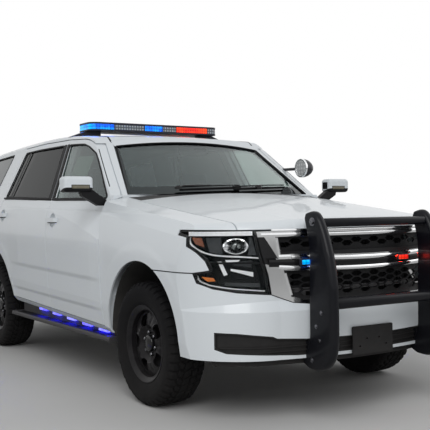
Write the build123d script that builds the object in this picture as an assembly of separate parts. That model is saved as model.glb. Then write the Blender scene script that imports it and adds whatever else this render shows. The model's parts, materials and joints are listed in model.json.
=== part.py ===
from build123d import *
import math
import os

# Police SUV in millimetres: +Z up, the nose points along -Y, the driver's side is +X.
# The ground is Z = 0 and the origin is under the middle of the whole vehicle.

# Overall sizes
wheelbase = 2946.0
front_overhang = 1003.0
rear_overhang = 1236.0
bar_reach = 190.0
total_length = bar_reach + front_overhang + wheelbase + rear_overhang
axle_front = -total_length / 2 + bar_reach + front_overhang
axle_rear = axle_front + wheelbase
roof_height = 1876.0
roof_peak = 2100.0
sill_height = 400.0
body_rake = 0.0335
panel = 12.0
seam = 7.0
seat_gap = 0.3

# Side section of the body, half widths and heights
belt_half = 957.0
belt_height = 1295.0
belt_corner = (962.0, 1290.0)
tumblehome = 0.42
shoulder = ((1001.0, 1208.0), (1015.0, 1105.0))
flank = ((1018.0, 880.0), (1007.0, 600.0))
rocker_edge = ((985.0, 440.0), (955.0, sill_height))

# Roof crown
crown_drop = 24.0
cap_margin = 31.0
corner_roll = (33.0, 6.0, 10.0, 28.0)
front_roof_radius = 6883.0
rear_roof_radius = 27480.0

# Windscreen, a plan arc carried up along its rake
screen_base = 440.0
screen_base_height = 1347.0
screen_run = 640.0
screen_rise = 452.0
screen_radius = 2118.0
screen_corners = ((786.0, screen_base_height - 8), (640.0, 1760.0), 1800.0)
glass_thick = 6.0
glass_inset = 8.0
glass_edge = 22.0
glass_gap = 3.0

# Tail outline, distance behind the rear axle and height
rear_face = ((1120.0, sill_height), (1136.0, 700.0), (1132.0, 1180.0), (1100.0, 1330.0), (925.0, 1842.0))

# Nose and hood
hood_slope = 0.13
hood_centre_height = 1362.0
hood_shoulder = (830.0, 1316.0)
hood_half_rear = 820.0
hood_half_front = 806.0
hood_rear_edge = 352.0
nose_radius = 2400.0
nose_flat = 600.0
nose_lead = 978.0
nose_corner = (885.0, 760.0)
nose_side = 480.0
nose_roll = 62.0
hood_edge_height = 1104.0
fender_end = 568.0
frame_depth = 18.0

# Doors and tailgate
door_thick = 60.0
door_shear = 0.36
door_reference = 1030.0
door_top = 1812.0
door_above_sill = 42.0
tailgate_low = 716.0
pillar_b = 1562.0
flange = 42.0
hinge_heights = (700.0, 1060.0)
# Inner front corner of the front door, cut back to its hinge line: half width and rear end
front_hem = (945.0, 573.0)

# Cabin
cabin_wall = 100.0
roof_wall = 46.0
screen_wall = 48.0
cowl_wall = 24.0
tail_wall = 60.0
lamp_depth = 40.0
lamp_gap = 3.0
floor_top = 560.0
floor_thick = 40.0
cargo_floor = 740.0
kick_start, kick_end = 2500.0, 2600.0
tunnel_half, tunnel_top = 130.0, 650.0

# Wheels
tyre_radius = 388.0
tyre_width = 262.0
tyre_seat = 0.3
rim_bead = 217.0
rim_lip = 243.0
rim_width = 216.0
rim_wall = 6.0
wheel_centre = 872.0
axle_height = tyre_radius
arch_radius = 486.0
arch_height = 424.0
kingpin_half = 812.0
spindle_radius = 36.0
running_clearance = 0.05
slot_count = 12
liner_half = 520.0
liner_grow = 12.0
liner_thick = 6.0


def fy(y):
    """Position along the vehicle of a place y behind the front axle."""
    return axle_front + y


def ry(y):
    """Position along the vehicle of a place y behind the rear axle."""
    return axle_rear + y


def outline(start, *steps):
    """Closed face: a step is a corner, or a pair of points for an arc through them."""
    edges, at = [], start
    for step in steps:
        if isinstance(step[0], tuple):
            edges.append(ThreePointArc(at, step[0], step[1]))
            at = step[1]
        else:
            edges.append(Line(at, step))
            at = step
    if math.dist(at, start) > 1e-6:
        edges.append(Line(at, start))
    return make_face(edges)


def across(face, x0, x1):
    """Side view outline (Y, Z) carried from x0 to x1."""
    return Pos(x0, 0, 0) * extrude(Plane.YZ * face, x1 - x0)


def along(face, y0, y1):
    """Front view outline (X, Z) carried from y0 to y1."""
    return Pos(0, y0, 0) * extrude(Plane.XZ * face, -(y1 - y0))


def upward(face, z0, z1):
    """Plan outline (X, Y) carried from z0 to z1."""
    return Pos(0, 0, z0) * extrude(face, z1 - z0)


def block(x0, x1, y0, y1, z0, z1):
    """Rectangular solid between two corners."""
    return Pos(x0, y0, z0) * Box(x1 - x0, y1 - y0, z1 - z0, align=Align.MIN)


def rod(start, end, radius):
    """Round bar between two points."""
    run = Vector(*end) - Vector(*start)
    ends = (Align.CENTER, Align.CENTER, Align.MIN)
    return Plane(origin=start, z_dir=run) * Cylinder(radius, run.length, align=ends)


def other_side(shape):
    """The same shape on the other side of the vehicle."""
    return mirror(shape, about=Plane.YZ)


def both(shape):
    """A right and a left copy as one shape."""
    return shape + other_side(shape)


def pair(shape):
    """A right and a left copy as separate solids."""
    return [shape, other_side(shape)]


# Envelopes that every body panel is cut from

def body_section(inset):
    """Whole cross section of the cabin with its walls moved in by inset, open at the top."""
    top = roof_height + 260
    lean_top = (belt_half + 8 - tumblehome * (top - belt_height), top)
    right = [(rocker_edge[1][0], -50), rocker_edge[1], rocker_edge[0], flank[1], flank[0],
             shoulder[1], shoulder[0], belt_corner, lean_top]
    left = [(-x, z) for x, z in reversed(right)]
    face = outline(right[0], *right[1:5], (right[5], right[6]), *right[7:], *left[:3],
                   (left[3], left[4]), *left[5:])
    return offset(face, -inset, kind=Kind.INTERSECTION) if inset else face


def crown_section(inset, drop):
    """Roof crown, its rolled corners and the leaning sides of the upper body."""
    top = roof_height - drop
    level = top - crown_drop
    wall = inset * math.hypot(1, tumblehome)

    def side(z):
        return belt_half + cap_margin - wall - tumblehome * (z - belt_height)

    roll = max(0.2, 1 - inset / 60)
    edge = (side(level) - corner_roll[0] * roll, level)
    mid = (side(level) - corner_roll[1] * roll, level - corner_roll[2] * roll)
    end_height = level - corner_roll[3] * roll
    right = (edge, mid, (side(end_height), end_height), (side(200), 200))
    left = [(-x, z) for x, z in right]
    return outline((right[3][0], 0), right[3], right[2], (mid, edge), ((0, top), left[0]),
                   (left[1], left[2]), left[3], (left[3][0], 0))


def roof_cap(inset, drop):
    """Crown turned about two distant axes, so the roof falls to the front and the rear."""
    parts = []
    for radius, turn, way in ((front_roof_radius, 23, 1), (rear_roof_radius, 5.2, -1)):
        face = Pos(0, fy(roof_peak), 0) * (Plane.XZ * crown_section(inset, drop))
        axis = Axis((0, fy(roof_peak), roof_height - radius), (way, 0, 0))
        parts.append(revolve(face, axis, turn))
    return parts[0] + parts[1]


def screen_prism(inset):
    """Everything behind the windscreen."""
    rake = Vector(0, screen_run, screen_rise)
    half = 1150.0
    back = screen_radius - math.sqrt(screen_radius ** 2 - half ** 2)
    face = outline((-half, back), ((0, 0), (half, back)), (half, 5200), (-half, 5200))
    shift = inset * rake.length / screen_rise
    base = Vector(0, fy(screen_base) + shift, screen_base_height) - rake * 0.6
    return Pos(*base) * extrude(face, rake.length * 2.4, dir=rake)


def rear_prism(inset):
    """Everything ahead of the tail, bowed in plan and leaning with the rear glass."""
    points = [(ry(y) - inset, z) for y, z in rear_face]
    rise = rear_face[4][1] - rear_face[3][1]
    lean = (rear_face[4][0] - rear_face[3][0]) / rise
    points[-1] = (points[-2][0] + lean * (rise + 90), rear_face[3][1] + rise + 90)
    face = outline((fy(-200), -100), (points[0][0], -100), *points, (fy(-200), points[-1][1]))
    half = flank[0][0] + 40
    plan = outline((-half, fy(-200)), (-half, ry(840)),
                   ((-half + 60, ry(1010)), (-half + 160, ry(1090))),
                   ((0, ry(1150)), (half - 160, ry(1090))),
                   ((half - 60, ry(1010)), (half, ry(840))), (half, fy(-200)))
    if inset:
        plan = offset(plan, -inset, kind=Kind.INTERSECTION)
    lower = upward(plan, -100, rear_face[3][1])
    rise_way = Vector(0, lean * rise, rise)
    upper = Pos(0, 0, rear_face[3][1]) * extrude(plan, rise_way.length * 1.2, dir=rise_way)
    return across(face, -half, half) & (lower + upper)


def cabin_volume(side, roof=None, screen=0.0, cowl=0.0, tail=0.0):
    """Body behind the cowl, with its sides, roof, screen, cowl wall and tail moved in."""
    roof = side if roof is None else roof
    start = fy(screen_base) + cowl
    lift = body_rake * (screen_base + cowl - fender_end)
    rise = Vector(0, 1, body_rake)
    face = Pos(0, start, lift) * (Plane.XZ * body_section(side))
    body = extrude(face, (ry(rear_overhang) - start) * rise.length, dir=rise)
    low = block(-1200, 1200, start, ry(1500), -100, screen_base_height - 15 - cowl)
    return (body & roof_cap(side, roof)) & (screen_prism(screen) + low) & rear_prism(tail)


def nose_plan(lead, inset):
    """Plan of the front end: a shallow arc across the nose and a tight one round each corner."""
    flat_back = nose_radius - math.sqrt(nose_radius ** 2 - nose_flat ** 2)
    tip = fy(-lead) + inset
    flat = nose_flat - 0.25 * inset
    corner = (nose_corner[0] - 0.75 * inset, fy(nose_lead - lead - nose_corner[1]) + 0.66 * inset)
    side = flank[0][0] + 30 - inset
    right = ((flat, tip + flat_back), corner, (side - 24, fy(-nose_side)),
             (side, fy(200 - nose_side)), (side, fy(900)))
    left = [(-x, y) for x, y in reversed(right)]
    return outline(left[0], left[1], left[2], (left[3], left[4]), ((0, tip), right[0]),
                   (right[1], right[2]), right[3], right[4])


def nose_section(inset):
    """Cross section of hood and fenders where they meet the doors."""
    right = [(rocker_edge[1][0], -300), rocker_edge[1], rocker_edge[0], flank[1], flank[0],
             shoulder[1], shoulder[0], belt_corner, hood_shoulder]
    left = [(-x, z) for x, z in reversed(right)]
    face = outline(right[0], *right[1:5], (right[5], right[6]), *right[7:],
                   ((0, hood_centre_height), left[0]), left[1], left[2], (left[3], left[4]), *left[5:])
    return offset(face, -inset, kind=Kind.INTERSECTION) if inset else face


def nose_prism(inset, back=900.0):
    """Front section carried down along the hood's slope."""
    slope = Vector(0, -1, -hood_slope)
    start = Pos(0, fy(back), hood_slope * (back - fender_end)) * (Plane.XZ * nose_section(inset))
    return extrude(start, (back + 1200) * slope.length, dir=slope)


def nose_volume(inset):
    """Front end above the bumper, rolled over where the hood meets the nose."""
    body = nose_prism(inset) & upward(nose_plan(nose_lead, inset), -100, 1500)
    edges = [e for e in body.edges() if rolled_edge(e)]
    return fillet(edges, nose_roll - inset)


def rolled_edge(edge):
    """True for the edges where the hood's top meets the nose's upright front."""
    low, high = edge.bounding_box().min, edge.bounding_box().max
    return high.Y < fy(-560) and low.Z > 1040 and abs(edge.center().X) < 890


# Shared volumes, each worked out once

cabin_outer = cabin_volume(0)
cabin_inner = cabin_volume(cabin_wall, roof_wall, screen_wall, cowl_wall, tail_wall)
door_inner = cabin_volume(door_thick, 0.0)
pocket_inner = cabin_volume(door_thick + seam, 0.0)
glass_depth = glass_inset + glass_thick
side_glass = cabin_volume(glass_inset) - cabin_volume(glass_depth)
side_groove = cabin_volume(glass_inset - seat_gap) - cabin_volume(glass_depth + seat_gap)
side_rebate = cabin_volume(glass_depth + seat_gap)
nose_outer = nose_volume(0)
nose_inner = nose_volume(panel)
nose_clear = nose_volume(panel + seat_gap)


def sheared(face_points, grow=0.0):
    """Side view outline on the right side, carried inwards and a little forwards.

    The points lie on the body's skin. The slant lets a door's rear edge swing clear.
    """
    def moved(point):
        y, z = point
        return (fy(y) + door_shear * (door_reference - skin_half(y, z)), z)

    steps = [tuple(moved(p) for p in step) if isinstance(step[0], tuple) else moved(step)
             for step in face_points]
    face = outline(*steps)
    if grow:
        face = offset(face, grow, kind=Kind.INTERSECTION)
    way = Vector(1, -door_shear, 0)
    return Pos(-door_reference, 0, 0) * extrude(Plane.YZ * face, way.length * 380, dir=way)


def straight(face_points, grow=0.0):
    """Side view outline on the skin of the right side, carried straight inwards."""
    steps = [tuple((fy(y), z) for y, z in step) if isinstance(step[0], tuple)
             else (fy(step[0]), step[1]) for step in face_points]
    face = outline(*steps)
    if grow:
        face = offset(face, grow, kind=Kind.INTERSECTION)
    return across(face, -1100, -560)


def roof_fall(y):
    """How far the roof has fallen from its peak at a distance y behind the front axle."""
    radius = front_roof_radius if y < roof_peak else rear_roof_radius
    return (y - roof_peak) ** 2 / (2 * radius)


def skin_half(y, z):
    """Half width of the body's skin at a place on its side."""
    level = z - body_rake * (y - fender_end)
    low, high = rocker_edge[0], flank[1]
    if level <= high[1]:
        return low[0] + (high[0] - low[0]) * (level - low[1]) / (high[1] - low[1])
    if level <= shoulder[1][1]:
        return shoulder[1][0]
    lean = belt_half + 8 - tumblehome * (level - belt_height)
    cap = belt_half + cap_margin - tumblehome * (z + roof_fall(y) - belt_height)
    if level >= belt_height:
        return min(lean, cap)
    share = (level - shoulder[1][1]) / (belt_corner[1] - shoulder[1][1])
    return min(cap, shoulder[1][0] + share * (belt_corner[0] - shoulder[1][0]))


def sill(y, above):
    """Height of a line that follows the rising sill."""
    return sill_height + above + body_rake * (y - fender_end)


# Door outlines as they meet the skin: distance behind the front axle and height
rear_axle_y = wheelbase
front_door = [(578, sill(578, door_above_sill)), (575, 1080), (592, 1300), (773, 1481), ((985, 1645), (1157, 1738)),
              ((1290, 1776), (1440, 1790)), (pillar_b + 100, door_top - 8), (pillar_b, 1300),
              (pillar_b, sill(pillar_b, door_above_sill))]
rear_door = [(pillar_b + seam, sill(pillar_b + seam, door_above_sill)), (pillar_b + seam, 1300),
             (pillar_b + seam + 100, door_top - 8), (2200, door_top), (rear_axle_y - 268, door_top - 8),
             (rear_axle_y - 168, 1300), (rear_axle_y - 190, 1060), (rear_axle_y - 320, 850),
             ((rear_axle_y - 478, 655), (rear_axle_y - 531, sill(rear_axle_y - 531, door_above_sill)))]
front_window = [(668, 1313), (654, 1324), (900, 1532), ((1060, 1655), (1215, 1716)), ((1330, 1746), (1480, 1756)),
                (pillar_b + 58, 1762), (pillar_b - 44, 1330)]
rear_window = [(pillar_b + 66, 1333), (pillar_b + 168, 1764), (2300, 1768), (rear_axle_y - 322, 1764),
               (rear_axle_y - 222, 1372)]
quarter_window = [(rear_axle_y + 145, 1380), (rear_axle_y + 20, 1768), (rear_axle_y + 560, 1752),
                  (rear_axle_y + 800, 1725), (rear_axle_y + 905, 1420)]
doors = {"front": (front_door, front_window), "rear": (rear_door, rear_window)}


def wheel_arch(axle, inner, grow=0.0):
    """Space of a wheel arch on the right side, from the skin in to a half width."""
    radius = arch_radius + grow
    face = outline((axle - radius, 0), (axle - radius, arch_height),
                   ((axle, arch_height + radius), (axle + radius, arch_height)), (axle + radius, 0))
    return across(face, -1100, -inner)


def rear_opening(grow=0.0):
    """Outline of the tailgate seen from behind."""
    half = [(798, tailgate_low), (832, 1000), (838, 1310), (715, 1768), (690, 1788)]
    left = [(-x, z) for x, z in reversed(half)]
    face = outline(half[0], *half[1:], *left)
    if grow:
        face = offset(face, grow, kind=Kind.INTERSECTION)
    return along(face, ry(820), ry(1300))


def lamp_opening(grow=0.0):
    """Outline of the right tail lamp seen from behind, wrapping round the corner."""
    face = outline((-1060, 905), (-862, 905), (-866, 1310), (-830, 1440), (-1060, 1440))
    if grow:
        face = offset(face, grow, kind=Kind.INTERSECTION)
    return along(face, ry(985), ry(1300))


# Body structure

def body_shell():
    """Roof, pillars, rear quarters and rockers, with its door openings and arches."""
    shell = cabin_outer - cabin_inner
    shell -= under_sill()
    shell -= block(-830, 830, fy(screen_base) - 50, ry(1400), 0, floor_top)
    ahead = block(-1200, 1200, fy(-100), fy(fender_end) + seam, 0, 1420)
    shell -= ahead - nose_clear
    for points, window in doors.values():
        hole = sheared(points, seam) - pocket_inner
        hole += straight(points, -flange)
        shell -= [hole, other_side(hole)]
    shell -= both(straight(quarter_window, -glass_edge))
    shell -= both(straight(quarter_window, glass_gap) - side_rebate)
    shell -= screen_outline(-glass_edge)
    shell -= screen_outline(glass_gap) - screen_prism(glass_depth + seat_gap)
    shell -= rear_opening(seam)
    shell -= both(lamp_opening(lamp_gap) - cabin_volume(lamp_depth + seat_gap, tail=lamp_depth + seat_gap))
    shell -= both(wheel_arch(axle_rear, 640))
    shell -= both(wheel_arch(axle_front, liner_half - seat_gap, liner_grow + seat_gap))
    shell -= block(-tunnel_half, tunnel_half, fy(screen_base) - 50, fy(screen_base) + 100, 0, tunnel_top)
    shell -= block(-1200, 1200, ry(1000), ry(1300), 0, 716)
    shell += door_hinges()
    shell += both(block(-640, -600, fy(270), fy(screen_base) + 5, 1200, 1400) & hood_underside(seat_gap))
    shell += both(block(-525, -475, ry(900), ry(928), 1788 + seat_gap, 1800))
    return main_solid(shell)


def under_sill():
    """Everything below the rising line of the sill."""
    front, rear = -700, wheelbase + 1500
    return across(outline((fy(front), -200), (fy(rear), -200), (fy(rear), sill(rear, 0)),
                          (fy(front), sill(front, 0))), -1200, 1200)


def main_solid(shape):
    """The largest solid of a shape."""
    return sorted(shape.solids(), key=lambda s: s.volume)[-1]


def door_hinges():
    """Hinge leaves on the pillars, each a hair away from its closed door."""
    leaf = cabin_volume(door_thick + seat_gap) - cabin_volume(door_thick + seam + 4)
    leaves = []
    for y in (642, pillar_b + seam + 26):
        for z in hinge_heights:
            piece = leaf & block(-1100, -800, fy(y), fy(y + 44), z, z + 70)
            leaves += [piece, other_side(piece)]
    return leaves


def screen_outline(grow):
    """Outline of the windscreen seen from the front."""
    low, high, crown = screen_corners
    face = outline(low, high, ((0, crown), (-high[0], high[1])), (-low[0], low[1]))
    if grow:
        face = offset(face, grow, kind=Kind.INTERSECTION)
    return along(face, fy(200), fy(1400))


def floor_pan():
    """Floor with its tunnel, raised cargo floor and rear wheel boxes."""
    under = floor_top - floor_thick
    start, end = fy(screen_base), ry(1100)
    pan = across(outline((start, under), (fy(kick_start), under), (fy(kick_end), cargo_floor - floor_thick),
                         (end, cargo_floor - floor_thick), (end, cargo_floor), (fy(kick_end - 40), cargo_floor),
                         (fy(kick_start - 40), floor_top), (start, floor_top)), -1000, 1000)
    pan += block(-tunnel_half - 25, tunnel_half + 25, start, fy(1900), under, tunnel_top + 25)
    pan += both(wheel_arch(axle_rear, 640, 20) & block(-1000, 0, fy(0), ry(700), under, 2000))
    pan -= block(-tunnel_half, tunnel_half, fy(0), fy(1870), 0, tunnel_top)
    pan -= both(wheel_arch(axle_rear, 660, 0.5))
    pan -= both(wheel_arch(axle_front, liner_half - seat_gap, liner_grow + seat_gap))
    pan -= both(block(-1000, -785, ry(998), end, under, cargo_floor))
    pan &= cabin_volume(cabin_wall + seat_gap, roof_wall, screen_wall, cowl_wall + seat_gap,
                        tail_wall + seam)
    return main_solid(pan)


def door(name):
    """Right-hand door: outer skin to inner trim, with its window cut."""
    points, window = doors[name]
    body = (cabin_outer - door_inner) & sheared(points)
    body -= sheared(window)
    body -= side_groove & sheared(window, glass_edge)
    body += door_handle(name)
    body -= handle_scoop(name)
    if name == "front":
        body -= block(-front_hem[0], -front_hem[0] + 200, fy(500), fy(front_hem[1]), 300, 1700)
    return main_solid(body)


def pane(window, grow):
    """Pane of glass in the groove of its frame."""
    return main_solid(side_glass & sheared(window, grow - seat_gap))


handle_place = {"front": (1350.0, 1148.0), "rear": (rear_axle_y - 388, 1194.0)}
handle_length = 190.0
handle_height = 34.0


def door_handle(name):
    """Pull handle standing off the door's skin."""
    y, z = handle_place[name]
    start, end = fy(y), fy(y + handle_length)
    bow = 26.0
    grip = outline((-1004, start), (-1018, start), ((-1033, start + 9), (-1040, start + bow)),
                   (-1040, end - bow), ((-1033, end - 9), (-1018, end)), (-1004, end))
    gap = outline((-1004, start + 30), (-1019, start + 38), (-1019, end - 38), (-1004, end - 30))
    return upward(grip, z, z + handle_height) - upward(gap, z - 1, z + handle_height + 1)


def handle_scoop(name):
    """Finger scoop behind the handle."""
    y, z = handle_place[name]
    return Pos(-1030, fy(y + handle_length / 2), z + handle_height / 2) * Sphere(58) & block(
        -1026, -900, fy(y + 34), fy(y + handle_length - 34), z - 40, z + 70)



def door_glass(name):
    """Pane of a right-hand door."""
    return pane(doors[name][1], glass_edge)


def fixed_glass():
    """Windscreen and the two rear quarter panes."""
    screen = (screen_prism(glass_inset) - screen_prism(glass_depth)) & screen_outline(0)
    quarter = main_solid(side_glass & straight(quarter_window))
    return [main_solid(screen), quarter, other_side(quarter)]


# Tailgate and the tail of the body

tail_window = ((758, 1404), (684, 1738))


def tail_window_outline(grow):
    """Outline of the tailgate's glass seen from behind."""
    low, high = tail_window
    face = outline(low, high, (-high[0], high[1]), (-low[0], low[1]))
    return along(offset(face, grow, kind=Kind.INTERSECTION) if grow else face, ry(800), ry(1300))


def tailgate():
    """Tail panel with its window rebate, number plate recess and pull handle."""
    gate = (cabin_outer - cabin_volume(0, tail=tail_wall)) & rear_opening()
    gate -= tail_window_outline(-glass_edge)
    gate -= tail_window_outline(glass_gap) - cabin_volume(0, tail=glass_depth + seat_gap)
    plate = outline((-265, 860), (265, 860), (225, 1070), (-225, 1070))
    gate -= along(plate, ry(1100), ry(1300))
    bar = block(-240, 240, ry(1095), ry(1128), 1072, 1106)
    return main_solid(gate + bar)


def tailgate_glass():
    """Pane in the tailgate's rebate."""
    layer = cabin_volume(0, tail=glass_inset) - cabin_volume(0, tail=glass_depth)
    return main_solid(layer & tail_window_outline(0))


def tail_lamps():
    """Tall lamps on the rear corners."""
    body = cabin_volume(2, tail=2) - cabin_volume(lamp_depth, tail=lamp_depth)
    lamp = main_solid(body & lamp_opening())
    return pair(lamp)


rear_bumper_heights = (476.0, 709.0)
bumper_skin = 14.0


def tail_plan(inset):
    """Plan of the rear bumper."""
    side, back = 1006.0 - inset, rear_overhang - inset
    return outline((-side, ry(1004)), (-side, ry(1080)), ((-935 + inset, ry(back - 72)),
                   (-800, ry(back - 20))), ((0, ry(back)), (800, ry(back - 20))),
                   ((935 - inset, ry(back - 72)), (side, ry(1080))), (side, ry(1004)))


def rear_bumper():
    """Wrapped rear bumper, hollow, with a step on top."""
    bumper = upward(tail_plan(0), *rear_bumper_heights)
    low, high = rear_bumper_heights
    top = bumper.edges().group_by(Axis.Z)[-1].filter_by(lambda e: e.center().Y > ry(1060))
    bumper = fillet(top, 16)
    bumper -= upward(tail_plan(bumper_skin), low - 10, high - bumper_skin)
    bumper -= block(-805, 805, ry(900), ry(1084), high - 40, high + 40)
    return main_solid(bumper)


# Front end

lamp_outline = [(728, 1098), (994, hood_edge_height), (996, 1014), (971, 982), (941, 933), (925, 878),
                (981, 863), (970, 809), (916, 779), (815, 757), (646, 742), (663, 851), (697, 963)]
grille_outline = [(0, 1100), (724, 1094), (693, 963), (659, 851), (642, 742), (513, 693), (411, 682),
                  (0, 672)]
upper_mesh = [(599, 1058), (577, 977)]
lower_mesh = [(549, 868), (516, 726), (440, 702)]
fender_cut = 866.0
bumper_step = (646.0, 706.0)
bumper_low = 378.0
intake_outline = [(924, 537), (835, 533), (650, 510), (624, 498), (441, 486), (0, 480)]
intake_low = [(0, 396), (497, 396), (877, 420), (924, 442)]


def front_face(points, grow=0.0, mirrored=True):
    """Front view outline carried through the nose; half outlines are completed by mirroring."""
    if mirrored:
        points = [p for p in points] + [(-x, z) for x, z in reversed(points) if x]
    face = outline(points[0], *points[1:])
    if grow:
        face = offset(face, grow, kind=Kind.INTERSECTION)
    return along(face, fy(-1100), fy(-480))


def right_lamp(grow=0.0):
    """Outline of the right headlamp carried through the nose."""
    return front_face([(-x, z) for x, z in lamp_outline], grow, mirrored=False)


def hood_prism(grow):
    """Plan outline of the hood, above the lamps and the grille."""
    front, rear = hood_half_front + grow, hood_half_rear + grow
    back = fy(hood_rear_edge) + grow
    face = outline((-front, fy(-1100)), (-rear, back), ((0, back + 46), (rear, back)), (front, fy(-1100)))
    return upward(face, hood_edge_height - grow, 1500)


def hood():
    """Hood skin with two raised creases and a stiffening frame under it."""
    skin = (nose_outer - nose_inner) & hood_prism(0)
    frame = (nose_inner - hood_underside(0)) & hood_prism(-40)
    window = upward(outline((-640, fy(-640)), (-690, fy(250)), (690, fy(250)), (640, fy(-640))), 900, 1500)
    frame -= window - block(-45, 45, fy(-700), fy(300), 900, 1500)
    return main_solid(skin + frame)


def hood_underside(gap):
    """Everything below the hood's stiffening frame, less a gap."""
    return Pos(0, 3, -frame_depth - gap) * nose_inner


def cowl_panel():
    """Black panel between the hood and the windscreen."""
    top = (nose_outer - nose_inner) & upward(outline(
        (-800, fy(hood_rear_edge) + seam), ((0, fy(hood_rear_edge) + 46 + seam),
                                          (800, fy(hood_rear_edge) + seam)),
        (800, fy(fender_end)), (-800, fy(fender_end))), 1000, 1500)
    top -= screen_prism(-4)
    return main_solid(top)


def front_fenders():
    """Front wings: they run back to the doors and up to the hood and the windscreen pillars."""
    skin = (nose_outer - nose_inner) & block(-1200, -560, fy(-1100), fy(fender_end), sill_height, 1500)
    skin -= hood_prism(seam)
    skin -= right_lamp(4)
    skin -= front_face(grille_outline, 4)
    skin -= wheel_arch(axle_front, 640)
    skin -= block(-1200, 0, fy(-1100), fy(-100), 0, fender_cut)
    skin -= block(-800.5, 0, fy(0), fy(600), 1000, 1500)
    skin -= screen_prism(-4) & block(-960, 0, fy(300), fy(700), 1300, 1500)
    return pair(main_solid(skin))


def bumper_volume(inset):
    """Front bumper: the nose below the lamps with a fuller lower half."""
    full = nose_plan(front_overhang, inset)
    low, high = bumper_step
    lean = math.degrees(math.atan2(front_overhang - nose_lead, high - low))
    stack = upward(full, bumper_low, low) + Pos(0, 0, low) * extrude(full, high - low, taper=lean)
    stack += upward(nose_plan(nose_lead, inset), bumper_low, fender_cut - seam)
    return nose_prism(inset) & stack & block(-1200, 1200, fy(-1200), fy(-200), 0, 1500)


intake_points = intake_outline + [(-x, z) for x, z in reversed(intake_outline[:-1])]
intake_points += [(-x, z) for x, z in reversed(intake_low[1:])] + intake_low[1:]


def intake(grow):
    """Outline of the dark lower intake carried through the bumper."""
    return front_face(intake_points, grow, mirrored=False)


def front_bumper():
    """White bumper cover with its lamp, grille and intake openings."""
    cover = bumper_volume(0) - bumper_volume(panel)
    cover -= both(right_lamp(4))
    cover -= front_face(grille_outline, 4)
    cover -= intake(0)
    cover -= both(wheel_arch(axle_front, 640))
    cover -= block(-1200, 1200, fy(-480), fy(0), 0, 1200) - both(block(-1200, -930, fy(-480), fy(0), 0, 1200))
    return main_solid(cover)


plate_holes = ((102.0, 415.0), (47.0, 457.0))
plate_hole = 12.0
plate_half, plate_low, plate_high, plate_thick = 156.0, 368.0, 532.0, 10.0
mount_half, mount_width = 418.0, 44.0
mount_low, mount_high = 405.0, 470.0


def bumper_trim():
    """Dark intake insert with its fins, the air dam and the plate bracket."""
    insert = (bumper_volume(14) - bumper_volume(30)) & intake(-0.3)
    insert += (bumper_volume(4) - bumper_volume(20)) & (intake(-0.3) - intake(-9))
    for z in (420, 446):
        insert += (bumper_volume(6) - bumper_volume(16)) & intake(-0.3) & block(
            -900, 900, fy(-1100), fy(-480), z, z + 7)
    dam = upward(nose_plan(front_overhang, 34), bumper_low - 34, bumper_low - seat_gap)
    dam -= upward(nose_plan(front_overhang, 60), bumper_low - 40, bumper_low)
    dam &= block(-900, 900, fy(-1100), fy(-640), 0, 500)
    face_y = fy(-front_overhang)
    bracket = block(-plate_half, plate_half, face_y - 16, face_y - 16 + plate_thick, plate_low, plate_high)
    bracket = fillet(bracket.edges().filter_by(Axis.Y), 10)
    bracket += block(-plate_half + 20, plate_half - 20, face_y - 8, face_y + 20, 402, 474)
    holes = [rod((side, face_y - 30, z), (side, face_y + 60, z), plate_hole / 2)
             for x, z in plate_holes for side in (-x, x)]
    ports = both(block(-mount_half - mount_width / 2 - 3, -mount_half + mount_width / 2 + 3, fy(-1100),
                       fy(-700), mount_low - 3, mount_high + 3))
    return [main_solid(insert - ports + bracket - holes), main_solid(dam - ports)]


def headlamps():
    """Lamp buckets with their projectors, open to the front behind the lenses."""
    outer = upward(nose_plan(nose_lead, 6.3), 0, 1500)
    back = upward(nose_plan(nose_lead, 74), 0, 1500)
    shell = (nose_prism(6) & outer & right_lamp(-1)) - back
    well = (outer & right_lamp(-9)) - upward(nose_plan(nose_lead, 66), 0, 1500)
    bar = block(-1000, -640, fy(-1000), fy(-480), 915, 926)
    lamp = main_solid(shell - (well - bar))
    lamp += main_solid(rod((-760, fy(-800), 1000), (-760, fy(-740), 1000), 50) & (outer - back))
    return pair(main_solid(lamp))


def headlamp_lenses():
    """Clear outer lenses of the headlamps."""
    lens = (nose_prism(2) & upward(nose_plan(nose_lead, 2), 0, 1500) & right_lamp(0))
    lens -= upward(nose_plan(nose_lead, 6), 0, 1500)
    return pair(main_solid(lens))


def mirrored(points):
    """Half outline completed on the other side."""
    return points + [(-x, z) for x, z in reversed(points)]


def grille():
    """Bright frame round two openings, with a dark channel across its middle."""
    plan = [upward(nose_plan(nose_lead, inset), 0, 1500) for inset in (-6, 16, 6)]
    frame = (plan[0] - plan[1]) & front_face(grille_outline, -0.5)
    frame &= nose_prism(0)
    frame -= front_face(upper_mesh)
    frame -= front_face(lower_mesh)
    channel = [(676, 944), (664, 906)]
    frame -= front_face(channel) - plan[2]
    return main_solid(frame)


cell_width, cell_height, cell_wall = 82.0, 31.0, 7.0


def honeycomb(points):
    """Flattened hexagonal cells staggered over one opening of the grille."""
    low, high = min(z for _, z in points), max(z for _, z in points)
    half = max(x for x, _ in points)
    pitch_x, pitch_z = cell_width * 0.75 + cell_wall, cell_height + cell_wall
    rows, columns = int((high - low) / pitch_z) + 2, int(half / pitch_x) + 2
    w, h = cell_width / 2, cell_height / 2
    cells = []
    for column in range(-columns, columns + 1):
        for row in range(-1, rows):
            x = column * pitch_x
            z = low + (row + 0.5 * (column % 2)) * pitch_z
            if abs(x) + w > half - 4 or z - h < low + 4 or z + h > high - 4:
                continue
            cells.append(outline((x - w, z), (x - w / 2, z + h), (x + w / 2, z + h), (x + w, z),
                                 (x + w / 2, z - h), (x - w / 2, z - h)))
    return cells


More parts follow.
